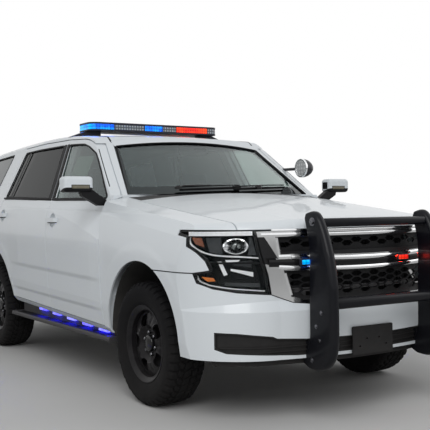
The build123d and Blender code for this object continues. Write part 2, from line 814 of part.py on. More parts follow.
def grille_mesh():
    """Dark honeycomb panels behind the grille's two openings."""
    plan = [upward(nose_plan(nose_lead, inset), 0, 1500) for inset in (16.3, 30)]
    panels = []
    for points in (upper_mesh, lower_mesh):
        sheet = (plan[0] - plan[1]) & front_face(points, 8)
        cut = extrude(Plane.XZ * Sketch(children=honeycomb(points)), 400)
        sheet -= Pos(0, fy(-700), 0) * cut
        panels.append(main_solid(sheet))
    return panels


def radiator():
    """Cooling pack behind the grille: core and side tanks."""
    low = rail_top + 40 + seat_gap
    core = block(-390, 390, fy(-830), fy(-770), low + 10, low + 480)
    tanks = both(block(-440, -380, fy(-836), fy(-764), low, low + 490))
    return main_solid(core + tanks)


# Push bumper

upright_half = 418.0
hoop_radius = 33.0
top_bar = (-1042.0, 1133.0, 27.0)
mid_bar = (-1129.0, 681.0, 30.0)


def push_bumper():
    """Two hooped uprights on the frame rails, joined by a top and a middle bar."""
    reach = front_overhang + bar_reach
    path = [(-1000, 358), (-1096, 350), (-reach + hoop_radius, 480), (-reach + hoop_radius, 820),
            (-1086, 1165), (-1040, 1205), (-982, 1196)]
    line = FilletPolyline(*[(fy(y), z) for y, z in path], radius=[60, 90, 500, 60, 24])
    wire = Plane.YZ * line
    start = Plane(origin=wire @ 0, z_dir=wire % 0)
    tube = sweep(start * Circle(hoop_radius), path=wire)
    web = outline((fy(-1000), 372), (fy(-1090), 360), (fy(-reach + 40), 486), (fy(-reach + 40), 815),
                  (fy(-1080), 1150), (fy(-1036), 1196), (fy(-1000), 1180), (fy(-1030), 1060),
                  (fy(-1060), 700), (fy(-1030), 470))
    upright = Pos(-upright_half, 0, 0) * tube + across(web, -upright_half - 20, -upright_half + 20)
    foot = block(-mount_half - mount_width / 2, -mount_half + mount_width / 2, fy(-1100), fy(-905) - seat_gap,
                 mount_low, mount_high)
    frame = both(upright + foot)
    for y, z, radius in (top_bar, mid_bar):
        frame += rod((-upright_half, fy(y), z), (upright_half, fy(y), z), radius)
    return main_solid(frame)


# Wheels and what carries them

def on_wheel(shape, side, axle):
    """A shape made for the right wheel's own centre, moved to its place."""
    placed = Pos(-wheel_centre, axle, axle_height) * shape
    return placed if side < 0 else other_side(placed)


def tyre():
    """Tyre with bulging side walls and blocky shoulders, open at the rim."""
    half, bead = tyre_width / 2, rim_bead + tyre_seat
    tread, wall = tyre_radius, rim_lip + 70
    right = [(bead, 90), (rim_lip + 14, 104), (wall, half), (tread - 52, half - 2), (tread - 12, half - 14),
             (tread, half - 32)]
    inner = [(tread - 26, 104), (rim_lip + 66, 112), (bead + 16, 84)]
    points = [(r, -x) for r, x in right] + right[::-1] + inner[::-1] + [(r, -x) for r, x in inner]
    return spun(outline(points[0], *points[1:]))


def spun(profile):
    """Profile of radius and offset turned about the wheel's axle; offset runs outboard."""
    face = Plane(origin=(0, 0, 0), x_dir=(0, 0, 1), z_dir=(0, -1, 0)) * profile
    return revolve(face, Axis.X, 360)


def rim():
    """Steel wheel: barrel, stamped disc with round openings, hub, bore and brake disc."""
    half = rim_width / 2
    outer = [(rim_lip, -half), (rim_lip, -half + 7), (rim_bead, -half + 16), (rim_bead, -half + 40),
             (rim_bead - 22, -half + 62), (rim_bead - 22, half - 84), (rim_bead, half - 60),
             (rim_bead, half - 16), (rim_lip, half - 7), (rim_lip, half)]
    inner = [(rim_lip - 7, half), (rim_bead - 7, half - 20), (rim_bead - 7, half - 56),
             (rim_bead - 29, half - 82), (rim_bead - 29, -half + 60), (rim_bead - 7, -half + 38),
             (rim_bead - 7, -half + 20), (rim_lip - 7, -half)]
    bore, edge = spindle_radius + running_clearance, rim_bead - 5
    disc = [(bore, -14), (brake_radius, -14), (brake_radius, 10), (64, 10), (64, 44), (92, 44), (122, 76),
            (150, 70), (edge, 50), (edge, 57), (152, 77), (120, 84), (88, 52), (60, 52), (56, hub_face),
            (bore, hub_face)]
    wheel = spun(outline(outer[0], *outer[1:], *inner)) + spun(outline(disc[0], *disc[1:]))
    slots = [Rot(turn * 360 / slot_count, 0, 0) * (Pos(-60, 0, slot_ring) * Rot(0, 90, 0) * Cylinder(
        slot_radius, 80)) for turn in range(slot_count)]
    return wheel - slots


brake_radius = 160.0
hub_face = 60.0
slot_ring, slot_radius = 179.0, 15.0
nut_radius, nut_thick = 46.0, 14.0
shoulder_radius = 60.0


def hub_carrier(start):
    """Right-hand spindle with its shoulder and nut, from a half width outwards."""
    def part(x0, x1, radius):
        return rod((-x0, 0, axle_height), (-x1, 0, axle_height), radius)
    nut = wheel_centre + hub_face + 2
    return (part(start, nut + nut_thick, spindle_radius) + part(start, wheel_centre - 16, shoulder_radius)
            + part(nut, nut + nut_thick, nut_radius))


pin_radius = 14.0
lower_arm = (262.0, 290.0)
upper_arm = (488.0, 514.0)


def knuckle():
    """Right steering knuckle: column, kingpins and the wheel's spindle."""
    low, high = lower_arm[1] + 4, upper_arm[0] - 4
    column = rod((-kingpin_half, 0, low), (-kingpin_half, 0, high), 30)
    pins = rod((-kingpin_half, 0, lower_arm[0]), (-kingpin_half, 0, upper_arm[1]), pin_radius)
    arm = block(-kingpin_half - 14, -kingpin_half + 14, 0, 110, axle_height - 60, axle_height - 36)
    return Pos(0, axle_front, 0) * (column + pins + hub_carrier(kingpin_half) + arm)


def coil(x, y, low, high):
    """Damper with the ridges of its coil spring."""
    turns = 7
    pitch = (high - low - 40) / turns
    points = [(22, low)]
    for turn in range(turns):
        z = low + 20 + turn * pitch
        points += [(34, z + 0.1 * pitch), (50, z + 0.3 * pitch), (50, z + 0.55 * pitch), (34, z + 0.8 * pitch)]
    points += [(22, high), (0, high), (0, low)]
    return Pos(x, y, 0) * revolve(Plane.XZ * outline(points[0], *points[1:]), Axis.Z, 360)


def front_suspension():
    """Upper and lower arms with their kingpin bores and the dampers, one set a side."""
    rail = rail_outer + seat_gap
    lower = outline((-rail, 430), (-rail, 386), (-740, lower_arm[0]), (-kingpin_half, lower_arm[0]),
                    (-kingpin_half, lower_arm[1]), (-740, lower_arm[1]))
    upper = outline((-rail, upper_arm[0] - 8), (-rail, upper_arm[1] + 4), (-700, upper_arm[1]),
                    (-kingpin_half, upper_arm[1]), (-kingpin_half, upper_arm[0]), (-700, upper_arm[0]))
    arms = along(lower, -42, 42) + along(upper, -36, 36)
    for low, high in (lower_arm, upper_arm):
        arms += rod((-kingpin_half, 0, low), (-kingpin_half, 0, high), 32)
        arms -= rod((-kingpin_half, 0, low - 1), (-kingpin_half, 0, high + 1), pin_radius + running_clearance)
    arms += coil(-damper_half, 0, 320, tower_height - seat_gap) - block(-700, -500, -36, 36, 488, 520)
    return pair(main_solid(Pos(0, axle_front, 0) * arms))


damper_half = 590.0
tower_height = 800.0
rail_inner, rail_outer = 390.0, 470.0
rail_low = 380.0
rail_top = floor_top - floor_thick - seat_gap
rail_rear_low = 570.0
rail_rear_top = cargo_floor - floor_thick - seat_gap
hitch_bore = 50.8
hitch_centre = 430.0


def rear_axle():
    """Solid rear axle with its differential, propeller shaft, arms and springs."""
    axle = rod((-wheel_centre, 0, axle_height), (wheel_centre, 0, axle_height), 30) & block(
        -700, 700, -60, 60, 0, 900)
    axle += both(hub_carrier(600) + rod((-640, 0, axle_height), (0, 0, axle_height), 42))
    axle += Pos(0, 0, axle_height) * Sphere(118)
    axle += rod((0, -170, axle_height), (0, 0, axle_height), 62)
    axle += rod((0, -1750, 420), (0, -150, axle_height), 36)
    arm = across(outline((-560, 400), (-560, 450), (-20, 410), (20, 350), (-20, 350)), -510, -482)
    axle += both(arm + block(-510, -rail_outer - seat_gap, -560, -510, 405, 445))
    axle += both(coil(-560, 0, axle_height + 20, rail_rear_top))
    return main_solid(Pos(0, axle_rear, 0) * axle)


def chassis_frame():
    """Ladder frame: two rails that rise over the rear axle, cross members and the tow hitch."""
    side = outline((fy(-905), rail_low), (fy(2380), rail_low), (fy(2640), rail_rear_low),
                   (ry(1060), rail_rear_low), (ry(1060), rail_rear_top), (fy(kick_end) + 0.4, rail_rear_top),
                   (fy(kick_start) + 0.4, rail_top), (fy(-905), rail_top))
    frame = both(across(side, -rail_outer, -rail_inner))
    for y, low, high, depth in ((-836, 430, rail_top + 40, 80), (-250, 390, 480, 300), (900, 400, 440, 120),
                                (2150, 446, 515, 90), (3060, 580, 680, 60)):
        frame += block(-rail_inner - 5, rail_inner + 5, fy(y), fy(y + depth), low, high)
    frame += both(block(-damper_half - 60, -rail_outer + 5, fy(-55), fy(55), tower_height, tower_height + 14))
    frame += both(block(-rail_outer, -rail_outer + 20, fy(-55), fy(55), rail_top - 20, tower_height + 14))
    frame += both(block(-rail_outer, -rail_inner, ry(1000), ry(1060), hitch_centre - 34, rail_rear_low + 5))
    frame += block(-rail_outer, rail_outer, ry(1000), ry(1060), hitch_centre - 34, hitch_centre + 34)
    frame += block(-38, 38, ry(1050), ry(1200), hitch_centre - 38, hitch_centre + 38)
    half = hitch_bore / 2
    frame -= block(-half, half, ry(1080), ry(1210), hitch_centre - half, hitch_centre + half)
    holders = block(-rail_outer + 10, -rail_inner - 10, ry(1040), ry(1240), 590, 640)
    frame += both(holders & upward(tail_plan(bumper_skin + seat_gap), 0, 800))
    return main_solid(frame)


def engine_block():
    """Engine as one plain block, with its gearbox reaching into the tunnel."""
    engine = block(-300, 300, fy(-480), fy(230), 480 + seat_gap, 1040)
    gearbox = block(-105, 105, fy(225), fy(1020), 440 + seat_gap, 632)
    return main_solid(engine + gearbox)


def exhaust():
    """Pipe, silencer and tail pipe under the floor."""
    path = [(230, fy(330), 470), (230, fy(560), 352), (230, fy(1800), 340), (230, ry(-420), 340),
            (330, ry(-240), 492), (430, ry(60), 500), (560, ry(260), 470), (560, ry(1150), 430)]
    line = FilletPolyline(*path, radius=60)
    start = Plane(origin=line @ 0, z_dir=line % 0)
    pipe = sweep(start * Circle(28), path=line)
    pipe += rod((230, fy(1350), 345), (230, fy(2000), 345), 88)
    hanger = block(200, 260, fy(1500), fy(1540), 400, floor_top - floor_thick - seat_gap)
    return main_solid(pipe + hanger)


def fuel_tank():
    """Tank between the right rail and the propeller shaft."""
    tank = block(-rail_inner + seat_gap, -90, ry(-1450), ry(-860), 300, 480)
    return fillet(tank.edges().filter_by(Axis.Y), 30)


spare_radius = 372.0


def spare_wheel():
    """Spare wheel hung under the cargo floor."""
    middle, half = 400.0, 112.0
    profile = outline((0, middle - 30), (120, middle - 30), (190, middle - 80), (spare_radius - 130, middle - 100),
                      (spare_radius - 60, middle - half), (spare_radius - 14, middle - half + 12),
                      (spare_radius, middle - half + 30), (spare_radius, middle + half - 30),
                      (spare_radius - 14, middle + half - 12), (spare_radius - 60, middle + half),
                      (spare_radius - 130, middle + 100), (190, middle + 60), (120, middle), (30, middle),
                      (30, cargo_floor - floor_thick - seat_gap), (0, cargo_floor - floor_thick - seat_gap))
    return Pos(0, ry(622), 0) * revolve(Plane.XZ * profile, Axis.Z, 360)


def wheel_liners():
    """Arched liners inside the front wings, with an opening for the suspension."""
    def space(inner, outer, radius):
        face = outline((axle_front - radius, rail_low), (axle_front - radius, arch_height),
                       ((axle_front, arch_height + radius), (axle_front + radius, arch_height)),
                       (axle_front + radius, rail_low))
        return across(face, -outer, -inner)
    liner = space(liner_half, 960, arch_radius + liner_grow)
    liner -= space(liner_half + liner_thick, 961, arch_radius + liner_grow - liner_thick)
    liner -= block(-700, -500, fy(-120), fy(120), 0, 840)
    for y in (-340, 310):
        liner += block(-530, -rail_outer - seat_gap, fy(y), fy(y + 30), 440, 500)
    liner &= nose_prism(panel + seat_gap)
    return pair(main_solid(liner))


def front_carrier():
    """Structure behind the nose: plate for lamps and grille, beam for the bumper, two struts."""
    plate = upward(nose_plan(nose_lead, 74 + seat_gap), 742, 1094) - upward(nose_plan(nose_lead, 90), 700, 1100)
    plate -= block(-600, 600, fy(-1000), fy(-600), 764, 1064)
    bar = upward(nose_plan(nose_lead, 16 + seat_gap), 1069, 1094) - upward(nose_plan(nose_lead, 90), 1000, 1100)
    beam = upward(nose_plan(front_overhang, panel + seat_gap), 590, 640)
    beam -= upward(nose_plan(front_overhang, 60), 500, 700)
    carrier = plate & block(-1100, 1100, fy(-1000), fy(-560), 0, 1200)
    carrier += bar & block(-680, 680, fy(-1000), fy(-600), 0, 1200)
    carrier += beam & block(-880, 880, fy(-1003), fy(-740), 0, 1200)
    carrier += both(block(-rail_outer, -rail_inner, fy(-940), fy(-852), rail_top + seat_gap, 655))
    carrier += both(block(-rail_outer, -rail_inner, fy(-885), fy(-852), 640, 760))
    carrier += both(block(-340, -300, fy(-930), fy(-890), 1080, 1300) & hood_underside(seat_gap))
    return main_solid(carrier & nose_prism(panel + seat_gap))


# Fittings outside

def running_boards():
    """Tread along each sill with a back panel up to the body."""
    start, end = fy(board_start), fy(board_end)
    tread = along(outline((-850, 334), (-992, 338), ((-1000, 344), (-1001, 354)), ((-999, 366), (-990, 372)),
                          (-850, 372)), start, end)
    back = across(outline((start + 60, 350), (end - 60, 350), (end - 60, sill(board_end - 60, -seat_gap)),
                          (start + 60, sill(board_start + 60, -seat_gap))), -board_back - 12, -board_back)
    return pair(main_solid(tread + back))


board_start, board_end = 470.0, 2477.0
board_back = 898.0
step_light_places = (643.0, 936.0, 1234.0, 1534.0, 1833.0)
step_light_size = (20.0, 150.0, 20.0)


def step_lights():
    """Five lamps under each sill."""
    lamps = []
    for y in step_light_places:
        deep, long, high = step_light_size
        top = sill(y, -3)
        start = -board_back - 12 - seat_gap
        lamp = block(start - deep, start, fy(y), fy(y + long), top - high, top)
        lamps += pair(lamp)
    return lamps


bar_half = 616.0
bar_front, bar_rear = 1591.0, 1871.0
bar_heights = (1889.0, 1899.0, 1942.0, 1957.0)
bar_splits = (-400.0, -120.0, 54.0, 183.0, 500.0)
bar_divider = 6.0


def bar_plan(inset):
    """Plan of the light bar with its rounded corners."""
    half, front, rear = bar_half - inset, fy(bar_front) + inset, fy(bar_rear) - inset
    return outline((-half, front + 70), ((-half + 22, front + 22), (-half + 80, front)), (half - 80, front),
                   ((half - 22, front + 22), (half, front + 70)), (half, rear - 70),
                   ((half - 22, rear - 22), (half - 80, rear)), (-half + 80, rear),
                   ((-half + 22, rear - 22), (-half, rear - 70)))


def light_bar():
    """Base, cap and dividers of the roof light bar on its two feet."""
    low, base, lens, top = bar_heights
    bar = upward(bar_plan(0), low, base) + upward(bar_plan(0), lens, top)
    for x in bar_splits:
        bar += upward(bar_plan(1), low, top) & block(x - bar_divider / 2, x + bar_divider / 2, fy(bar_front),
                                                     fy(bar_rear), low, top)
    foot = along(outline((-480, low + 2), (-600, low + 2), (-742, 1838), (-742, 1790), (-480, 1790)),
                 fy(1690), fy(1772))
    foot -= roof_cap(-seat_gap, -seat_gap)
    return main_solid(bar + both(main_solid(foot)))


def light_bar_lenses():
    """Coloured lens blocks between the dividers."""
    low, base, lens, top = bar_heights
    body = upward(bar_plan(2), base + seat_gap, lens - seat_gap)
    edges = (-bar_half - 10,) + bar_splits + (bar_half + 10,)
    gap = bar_divider / 2 + seat_gap
    return [main_solid(body & block(x0 + gap, x1 - gap, fy(bar_front), fy(bar_rear), low, top))
            for x0, x1 in zip(edges, edges[1:])]


def mirror_head():
    """Right outside mirror with its arm and foot on the door."""
    head = block(-1252, -1040, fy(585), fy(697), 1354, 1462)
    head = fillet(head.edges(), 26)
    arm = along(outline((-1130, 1370), (-1040, 1370), (-940, 1300), (-940, 1262), (-1000, 1262), (-1120, 1330)),
                fy(604), fy(650))
    return main_solid(head + arm - skin_clear)


def spotlight():
    """Lamp on the driver's pillar with its stalk."""
    x, y, z = spot_centre
    points = [(0, -58), (spot_radius - 8, -58), (spot_radius, -50), (spot_radius, -28), (spot_radius - 12, 10),
              (spot_radius - 40, 44), (22, 58), (0, 58)]
    head = Plane(origin=(x, fy(y), z), x_dir=(1, 0, 0), z_dir=(0, 0, 1)) * outline(points[0], *points[1:])
    lamp = revolve(head, Axis((x, fy(y), z), (0, 1, 0)), 360)
    stalk = rod((x, fy(y + 30), z), spot_foot, 14) - skin_clear
    return main_solid(lamp + stalk)


spot_centre = (858.0, 660.0, 1550.0)
spot_radius = 76.0
spot_foot = (800.0, fy(900), 1548.0)
wiper_places = ((-720, 1366, -110, 1392), (-50, 1366, 560, 1392))


def wipers():
    """Two blades lying on the foot of the windscreen."""
    layer = screen_prism(-14) - screen_prism(-seat_gap)
    blades = []
    for x0, z0, x1, z1 in wiper_places:
        strip = outline((x0, z0), (x1, z1), (x1, z1 + 14), (x0, z0 + 22))
        blades.append(main_solid(along(strip, fy(200), fy(1000)) & layer))
    return blades


def cabin_mirror():
    """Inside mirror on its stalk from the windscreen."""
    glass = block(-125, 125, fy(1000), fy(1022), 1650, 1712)
    glass = fillet(glass.edges().filter_by(Axis.Y), 20)
    stalk = rod((0, fy(880), 1712), (0, fy(1010), 1690), 10) & screen_prism(glass_depth + seat_gap)
    return main_solid(glass + stalk)


# Cabin

wheel_hub = (380.0, 985.0, 1150.0)
column_radius = 20.0


def column(radius):
    """Steering column from the wheel into the dashboard."""
    x, y, z = wheel_hub
    return rod((x, fy(y - 230), z - 107), (x, fy(y), z), radius)


def dashboard():
    """Dashboard across the cabin with a bore for the steering column."""
    start = screen_base + cowl_wall + seat_gap
    points = [(start, 880), (start, 1190), (560, 1215), (760, 1190), (840, 1120), (830, 1010), (700, 880)]
    dash = across(outline(*[(fy(y), z) for y, z in points]), -820, 820)
    console = block(-110, 110, fy(600), fy(1250), tunnel_top + 25 + seat_gap, 900)
    return main_solid(dash + console - column(column_radius + seat_gap))


def steering_wheel():
    """Steering wheel with three spokes on its column."""
    x, y, z = wheel_hub
    place = Plane(origin=(x, fy(y), z), x_dir=(1, 0, 0), z_dir=(0, 0.906, 0.423))
    wheel = Torus(185, 15) + Cylinder(48, 36)
    for turn in (0, 180, 270):
        wheel += Rot(0, 0, turn) * Pos(95, 0, 0) * Box(180, 34, 14)
    return main_solid(place * wheel + column(column_radius))


def seat(width, depth, back_height, lean, foot):
    """Seat with its foot at the origin: cushion, leaning back and plinth."""
    cushion = fillet(Box(width, depth, 140, align=(Align.CENTER, Align.MIN, Align.MIN)).edges(), 34)
    back = fillet(Box(width - 20, 130, back_height, align=(Align.CENTER, Align.MIN, Align.MIN)).edges(), 34)
    plinth = Box(width - 140, depth - 160, foot + 40, align=(Align.CENTER, Align.MIN, Align.MIN))
    body = Pos(0, 0, foot) * cushion + Pos(0, depth - 120, foot + 60) * Rot(-lean, 0, 0) * back
    return body + Pos(0, 60, 0) * plinth


def headrest(x, y, z):
    """Headrest with two posts."""
    rest = fillet(Box(270, 90, 170).edges(), 30)
    posts = Pos(-60, 0, -110) * Cylinder(8, 120) + Pos(60, 0, -110) * Cylinder(8, 120)
    return Pos(x, y, z) * (rest + posts)


def front_seats():
    """Two front seats."""
    chair = seat(530, 560, 640, 12, 120) + headrest(0, 612, 900)
    return pair(main_solid(Pos(-400, fy(1080), floor_top + seat_gap) * chair))


def rear_seat():
    """Rear bench."""
    bench = seat(1250, 500, 640, 14, 70)
    for x in (-400, 400):
        bench += headrest(x, 560, 820)
    return main_solid(Pos(0, fy(1950), floor_top + seat_gap) * bench)


skin_clear = cabin_volume(-seat_gap)

nodes = [
    ("body_shell", body_shell), ("floor_pan", floor_pan), ("front_fenders", front_fenders),
    ("front_bumper", front_bumper), ("bumper_trim", bumper_trim), ("front_carrier", front_carrier),
    ("grille", grille), ("grille_mesh", grille_mesh), ("headlamps", headlamps),
    ("headlamp_lenses", headlamp_lenses), ("radiator", radiator), ("cowl_panel", cowl_panel),
    ("fixed_glass", fixed_glass), ("tail_lamps", tail_lamps), ("rear_bumper", rear_bumper),
    ("hood", hood), ("tailgate", tailgate), ("tailgate_glass", tailgate_glass),
    ("push_bumper", push_bumper), ("light_bar", light_bar), ("light_bar_lenses", light_bar_lenses),
    ("spotlight", spotlight), ("running_boards", running_boards), ("step_lights", step_lights),
    ("wipers", wipers), ("cabin_mirror", cabin_mirror), ("chassis_frame", chassis_frame),
    ("engine_block", engine_block), ("exhaust", exhaust), ("fuel_tank", fuel_tank),
    ("front_suspension", front_suspension), ("rear_axle", rear_axle), ("spare_wheel", spare_wheel),
    ("wheel_liners", wheel_liners), ("dashboard", dashboard), ("steering_wheel", steering_wheel),
    ("front_seats", front_seats), ("rear_seat", rear_seat),
]

sided = [
    ("door_front", lambda: door("front")), ("door_rear", lambda: door("rear")),
    ("glass_front", lambda: door_glass("front")), ("glass_rear", lambda: door_glass("rear")),
    ("mirror", mirror_head), ("knuckle", knuckle),
]


def save(name, shape):
    """Write one node, as one solid or as a compound of separate ones."""
    export_step(Compound(children=shape) if isinstance(shape, list) else shape, f"parts/{name}.step")


def show(name, start, shape):
    import time
    solids = shape if isinstance(shape, list) else [shape]
    print(name, round(time.time() - start, 1), [round(v.volume / 1e6, 1) for v in solids][:6],
          all(v.is_valid for v in solids), sum(len(v.faces()) for v in solids), flush=True)


if __name__ == "__main__":
    import time
    os.makedirs("parts", exist_ok=True)
    for name, make in nodes:
        t = time.time()
        try:
            shape = make()
            save(name, shape)
            show(name, t, shape)
        except Exception as problem:
            print(name, "FAILED", repr(problem)[:300], flush=True)
    for name, make in sided:
        t = time.time()
        try:
            right = make()
            save(name + "_right", right)
            save(name + "_left", other_side(right))
            show(name, t, right)
        except Exception as problem:
            print(name, "FAILED", repr(problem)[:300], flush=True)
    for end, axle in (("front", axle_front), ("rear", axle_rear)):
        for name, make in (("rim", rim), ("tyre", tyre)):
            t = time.time()
            right = on_wheel(make(), -1, axle)
            save(f"{name}_{end}_right", right)
            save(f"{name}_{end}_left", other_side(right))
            show(name, t, right)
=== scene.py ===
# %% [markdown]
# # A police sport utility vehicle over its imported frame
# The frame is the engineering model: every door, wheel and bracket is already at its real size
# and place. This script gives it what a camera sees: paint, rubber, glass, lamps and small
# fittings. The frame is loaded first, so that every new piece can be placed by measuring it.

# %% Load the frame
import json
import math

import bmesh
import bpy
import numpy as np
from mathutils import Matrix, Vector
from mathutils.bvhtree import BVHTree


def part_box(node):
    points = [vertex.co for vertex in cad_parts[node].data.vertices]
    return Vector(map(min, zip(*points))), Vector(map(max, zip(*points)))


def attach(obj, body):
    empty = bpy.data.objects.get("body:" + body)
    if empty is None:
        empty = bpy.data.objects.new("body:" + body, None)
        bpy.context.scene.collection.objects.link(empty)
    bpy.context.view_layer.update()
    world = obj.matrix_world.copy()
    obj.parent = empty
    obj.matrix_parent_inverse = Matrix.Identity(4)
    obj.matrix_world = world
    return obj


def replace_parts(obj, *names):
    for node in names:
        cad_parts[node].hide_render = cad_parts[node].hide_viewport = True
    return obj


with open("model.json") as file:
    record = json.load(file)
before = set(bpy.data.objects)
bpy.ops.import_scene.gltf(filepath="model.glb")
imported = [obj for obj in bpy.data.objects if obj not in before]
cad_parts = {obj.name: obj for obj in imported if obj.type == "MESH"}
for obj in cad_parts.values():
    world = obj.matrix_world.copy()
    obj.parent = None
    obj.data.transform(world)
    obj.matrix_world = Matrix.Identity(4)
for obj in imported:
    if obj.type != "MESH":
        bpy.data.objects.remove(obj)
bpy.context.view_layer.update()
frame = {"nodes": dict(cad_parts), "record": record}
nodes = frame["nodes"]

# %% [markdown]
# ## Where things are
# The shapes below are worked out in millimetres, as on the maker's drawings, and turned to metres
# when a mesh is made. The two axles are the places that everything else is measured from, so they
# are read off the tyres' boxes rather than written down again.

# %% Measures from the frame
MM = 0.001


def span(node):
    """Lowest and highest corner of a CAD node in millimetres."""
    low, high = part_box(node)
    return np.array(low) / MM, np.array(high) / MM


def middle(node):
    """Middle of a CAD node's box in millimetres."""
    return np.mean(span(node), axis=0)


front_axle = middle("tyre_front_right")[1]
rear_axle = middle("tyre_rear_right")[1]
tyre_radius = (span("tyre_front_right")[1][2] - span("tyre_front_right")[0][2]) / 2
surfaces = {}


def first_hit(node, start, direction):
    """Where a ray from a point first meets a CAD node, in millimetres; None if it misses."""
    if node not in surfaces:
        surfaces[node] = BVHTree.FromObject(nodes[node], bpy.context.evaluated_depsgraph_get())
    place = surfaces[node].ray_cast(Vector(start) * MM, Vector(direction))[0]
    return None if place is None else np.array(place) / MM


print("axles at", round(front_axle, 1), round(rear_axle, 1), "tyre radius", round(tyre_radius, 1))

# %% [markdown]
# ## Shapes as grids of points
# Every new piece is a grid of points and the quads between them. A turned part is a profile swept
# round an axis, a moulding is a small section carried along a path, and a pane or panel is a face
# of points with its copy behind it. Computing the whole grid at once keeps each shape one formula.
# A shape is its points and a list of face arrays, each array holding faces of one corner count.

# %% Grids


def grid(rows, around=False, ends="open"):
    """Quads between neighbours of an m by n grid of points: corners (i, j), (i, j+1), (i+1, j+1)
    and (i+1, j). around joins the last column to the first; ends caps or joins first and last row."""
    m, n = rows.shape[:2]
    index = np.arange(m * n).reshape(m, n)
    if ends == "joined":
        index = np.vstack([index, index[:1]])
    if around:
        index = np.hstack([index, index[:, :1]])
    quads = np.stack([index[:-1, :-1], index[:-1, 1:], index[1:, 1:], index[1:, :-1]], -1)
    faces = [quads.reshape(-1, 4)]
    if ends == "capped":
        faces += [index[:1, :n][:, ::-1], index[-1:, :n]]
    return rows.reshape(-1, 3), faces


def corner_turns(steps):
    """Angles round a rounded rectangle: steps angles in each quarter turn, both its ends counted."""
    return np.concatenate([np.linspace(0, np.pi / 2, steps) + quarter * np.pi / 2
                           for quarter in range(4)])


cap_rows = grid(np.zeros((3, 8, 3)), around=True, ends="capped")
print("a 3 by 8 tube has", sum(len(same_count) for same_count in cap_rows[1]), "faces with its caps")

# %% Turned parts


def turned(profile, centre, axis=0, steps=48, ring=False):
    """Each profile row (radius, offset) becomes a circle: radius times cosine and sine of the turn
    across the axis, offset along it."""
    profile = np.asarray(profile, float)
    turn = np.linspace(0, 2 * np.pi, steps, endpoint=False)
    first, second = [i for i in range(3) if i != axis]
    rows = np.zeros((len(profile), steps, 3))
    rows[..., axis] = profile[:, 1:2]
    rows[..., first] = profile[:, :1] * np.cos(turn)
    rows[..., second] = profile[:, :1] * np.sin(turn)
    return grid(rows + np.asarray(centre, float), around=True, ends="joined" if ring else "open")


print("a turned pin has", len(turned([(0, 0), (5, 0), (5, 20), (0, 20)], (0, 0, 0))[0]), "points")

# %% Tubes and smooth paths
TUBE_SIDES = 14


def directions(path, closed=False):
    """Unit steps along a path, each the difference of its neighbours; a closed path wraps round."""
    step = np.roll(path, -1, 0) - np.roll(path, 1, 0) if closed else np.gradient(path, axis=0)
    return step / np.linalg.norm(step, axis=1, keepdims=True)


def tube(path, radius, up=(0, 0, 1)):
    """A circle of the given radius, or radii, carried along a path: cosine of the turn times the
    sideways direction plus sine times the upward one, both square to the path."""
    path = np.asarray(path, float)
    along = directions(path)
    side = np.cross(along, up)
    side /= np.linalg.norm(side, axis=1, keepdims=True)
    over = np.cross(side, along)
    turn = np.linspace(0, 2 * np.pi, TUBE_SIDES, endpoint=False)[:, None]
    radius = np.broadcast_to(np.asarray(radius, float), len(path))[:, None, None]
    ring = np.cos(turn) * side[:, None] + np.sin(turn) * over[:, None]
    return grid(path[:, None] + radius * ring, around=True, ends="capped")


def curve(points, steps=24):
    """A smooth path through a few points: each stretch is a cubic in t whose slope at a point is
    half the step between its two neighbours."""
    p = np.asarray(points, float)
    p = np.vstack([2 * p[0] - p[1], p, 2 * p[-1] - p[-2]])
    t = np.linspace(0, len(p) - 3, steps)
    i = np.minimum(t.astype(int), len(p) - 4)
    t = (t - i)[:, None]
    a, b, c, d = p[i], p[i + 1], p[i + 2], p[i + 3]
    square, cube = 2 * a - 5 * b + 4 * c - d, 3 * b - a - 3 * c + d
    return 0.5 * (2 * b + (c - a) * t + square * t ** 2 + cube * t ** 3)


print("a curve through 3 points has", len(curve([(0, 0), (1, 1), (2, 0)])), "places")

# %% Mouldings and plates
CROWN_FROM, CROWN_WIDE = 0.55, 0.32


def moulding(path, out, width, proud, sunk=1.0, closed=False):
    """A low crowned bar along a path: six corners, each a share of the width across the path plus a
    height along out. The sides stand to 0.55 of proud, and the top is 0.64 of the width."""
    path = np.asarray(path, float)
    out = np.broadcast_to(np.asarray(out, float), np.shape(path))
    across = np.cross(directions(path, closed), out)
    across /= np.linalg.norm(across, axis=1, keepdims=True)
    edge = CROWN_FROM * proud
    section = np.array([(-0.5, -sunk), (-0.5, edge), (-CROWN_WIDE, proud), (CROWN_WIDE, proud),
                        (0.5, edge), (0.5, -sunk)])
    rings = (path[:, None] + across[:, None] * section[None, :, :1] * width
             + out[:, None] * section[None, :, 1:])
    return grid(rings, around=True, ends="joined" if closed else "capped")


def plate(face, thick):
    """A face of m by n points and its copy, which is the face plus thick, joined round the rim."""
    face = np.asarray(face, float)
    back = face + np.asarray(thick, float)
    rows = np.concatenate([face, back[:, ::-1]], axis=1)
    points, faces = grid(rows, around=True)
    m, n = rows.shape[:2]
    index = np.arange(m * n).reshape(m, n)
    for row in (index[0], index[-1]):
        front, behind = row[:n // 2], row[n // 2:][::-1]
        faces.append(np.stack([front[:-1], front[1:], behind[1:], behind[:-1]], -1))
    return points, faces


bar = moulding([(0, 0, 0), (1, 0, 0), (2, 0, 0)], (0, 0, 1), 10, 3)
print("a moulding through 3 places has", len(bar[0]), "points")

# %% Blocks and mirror images


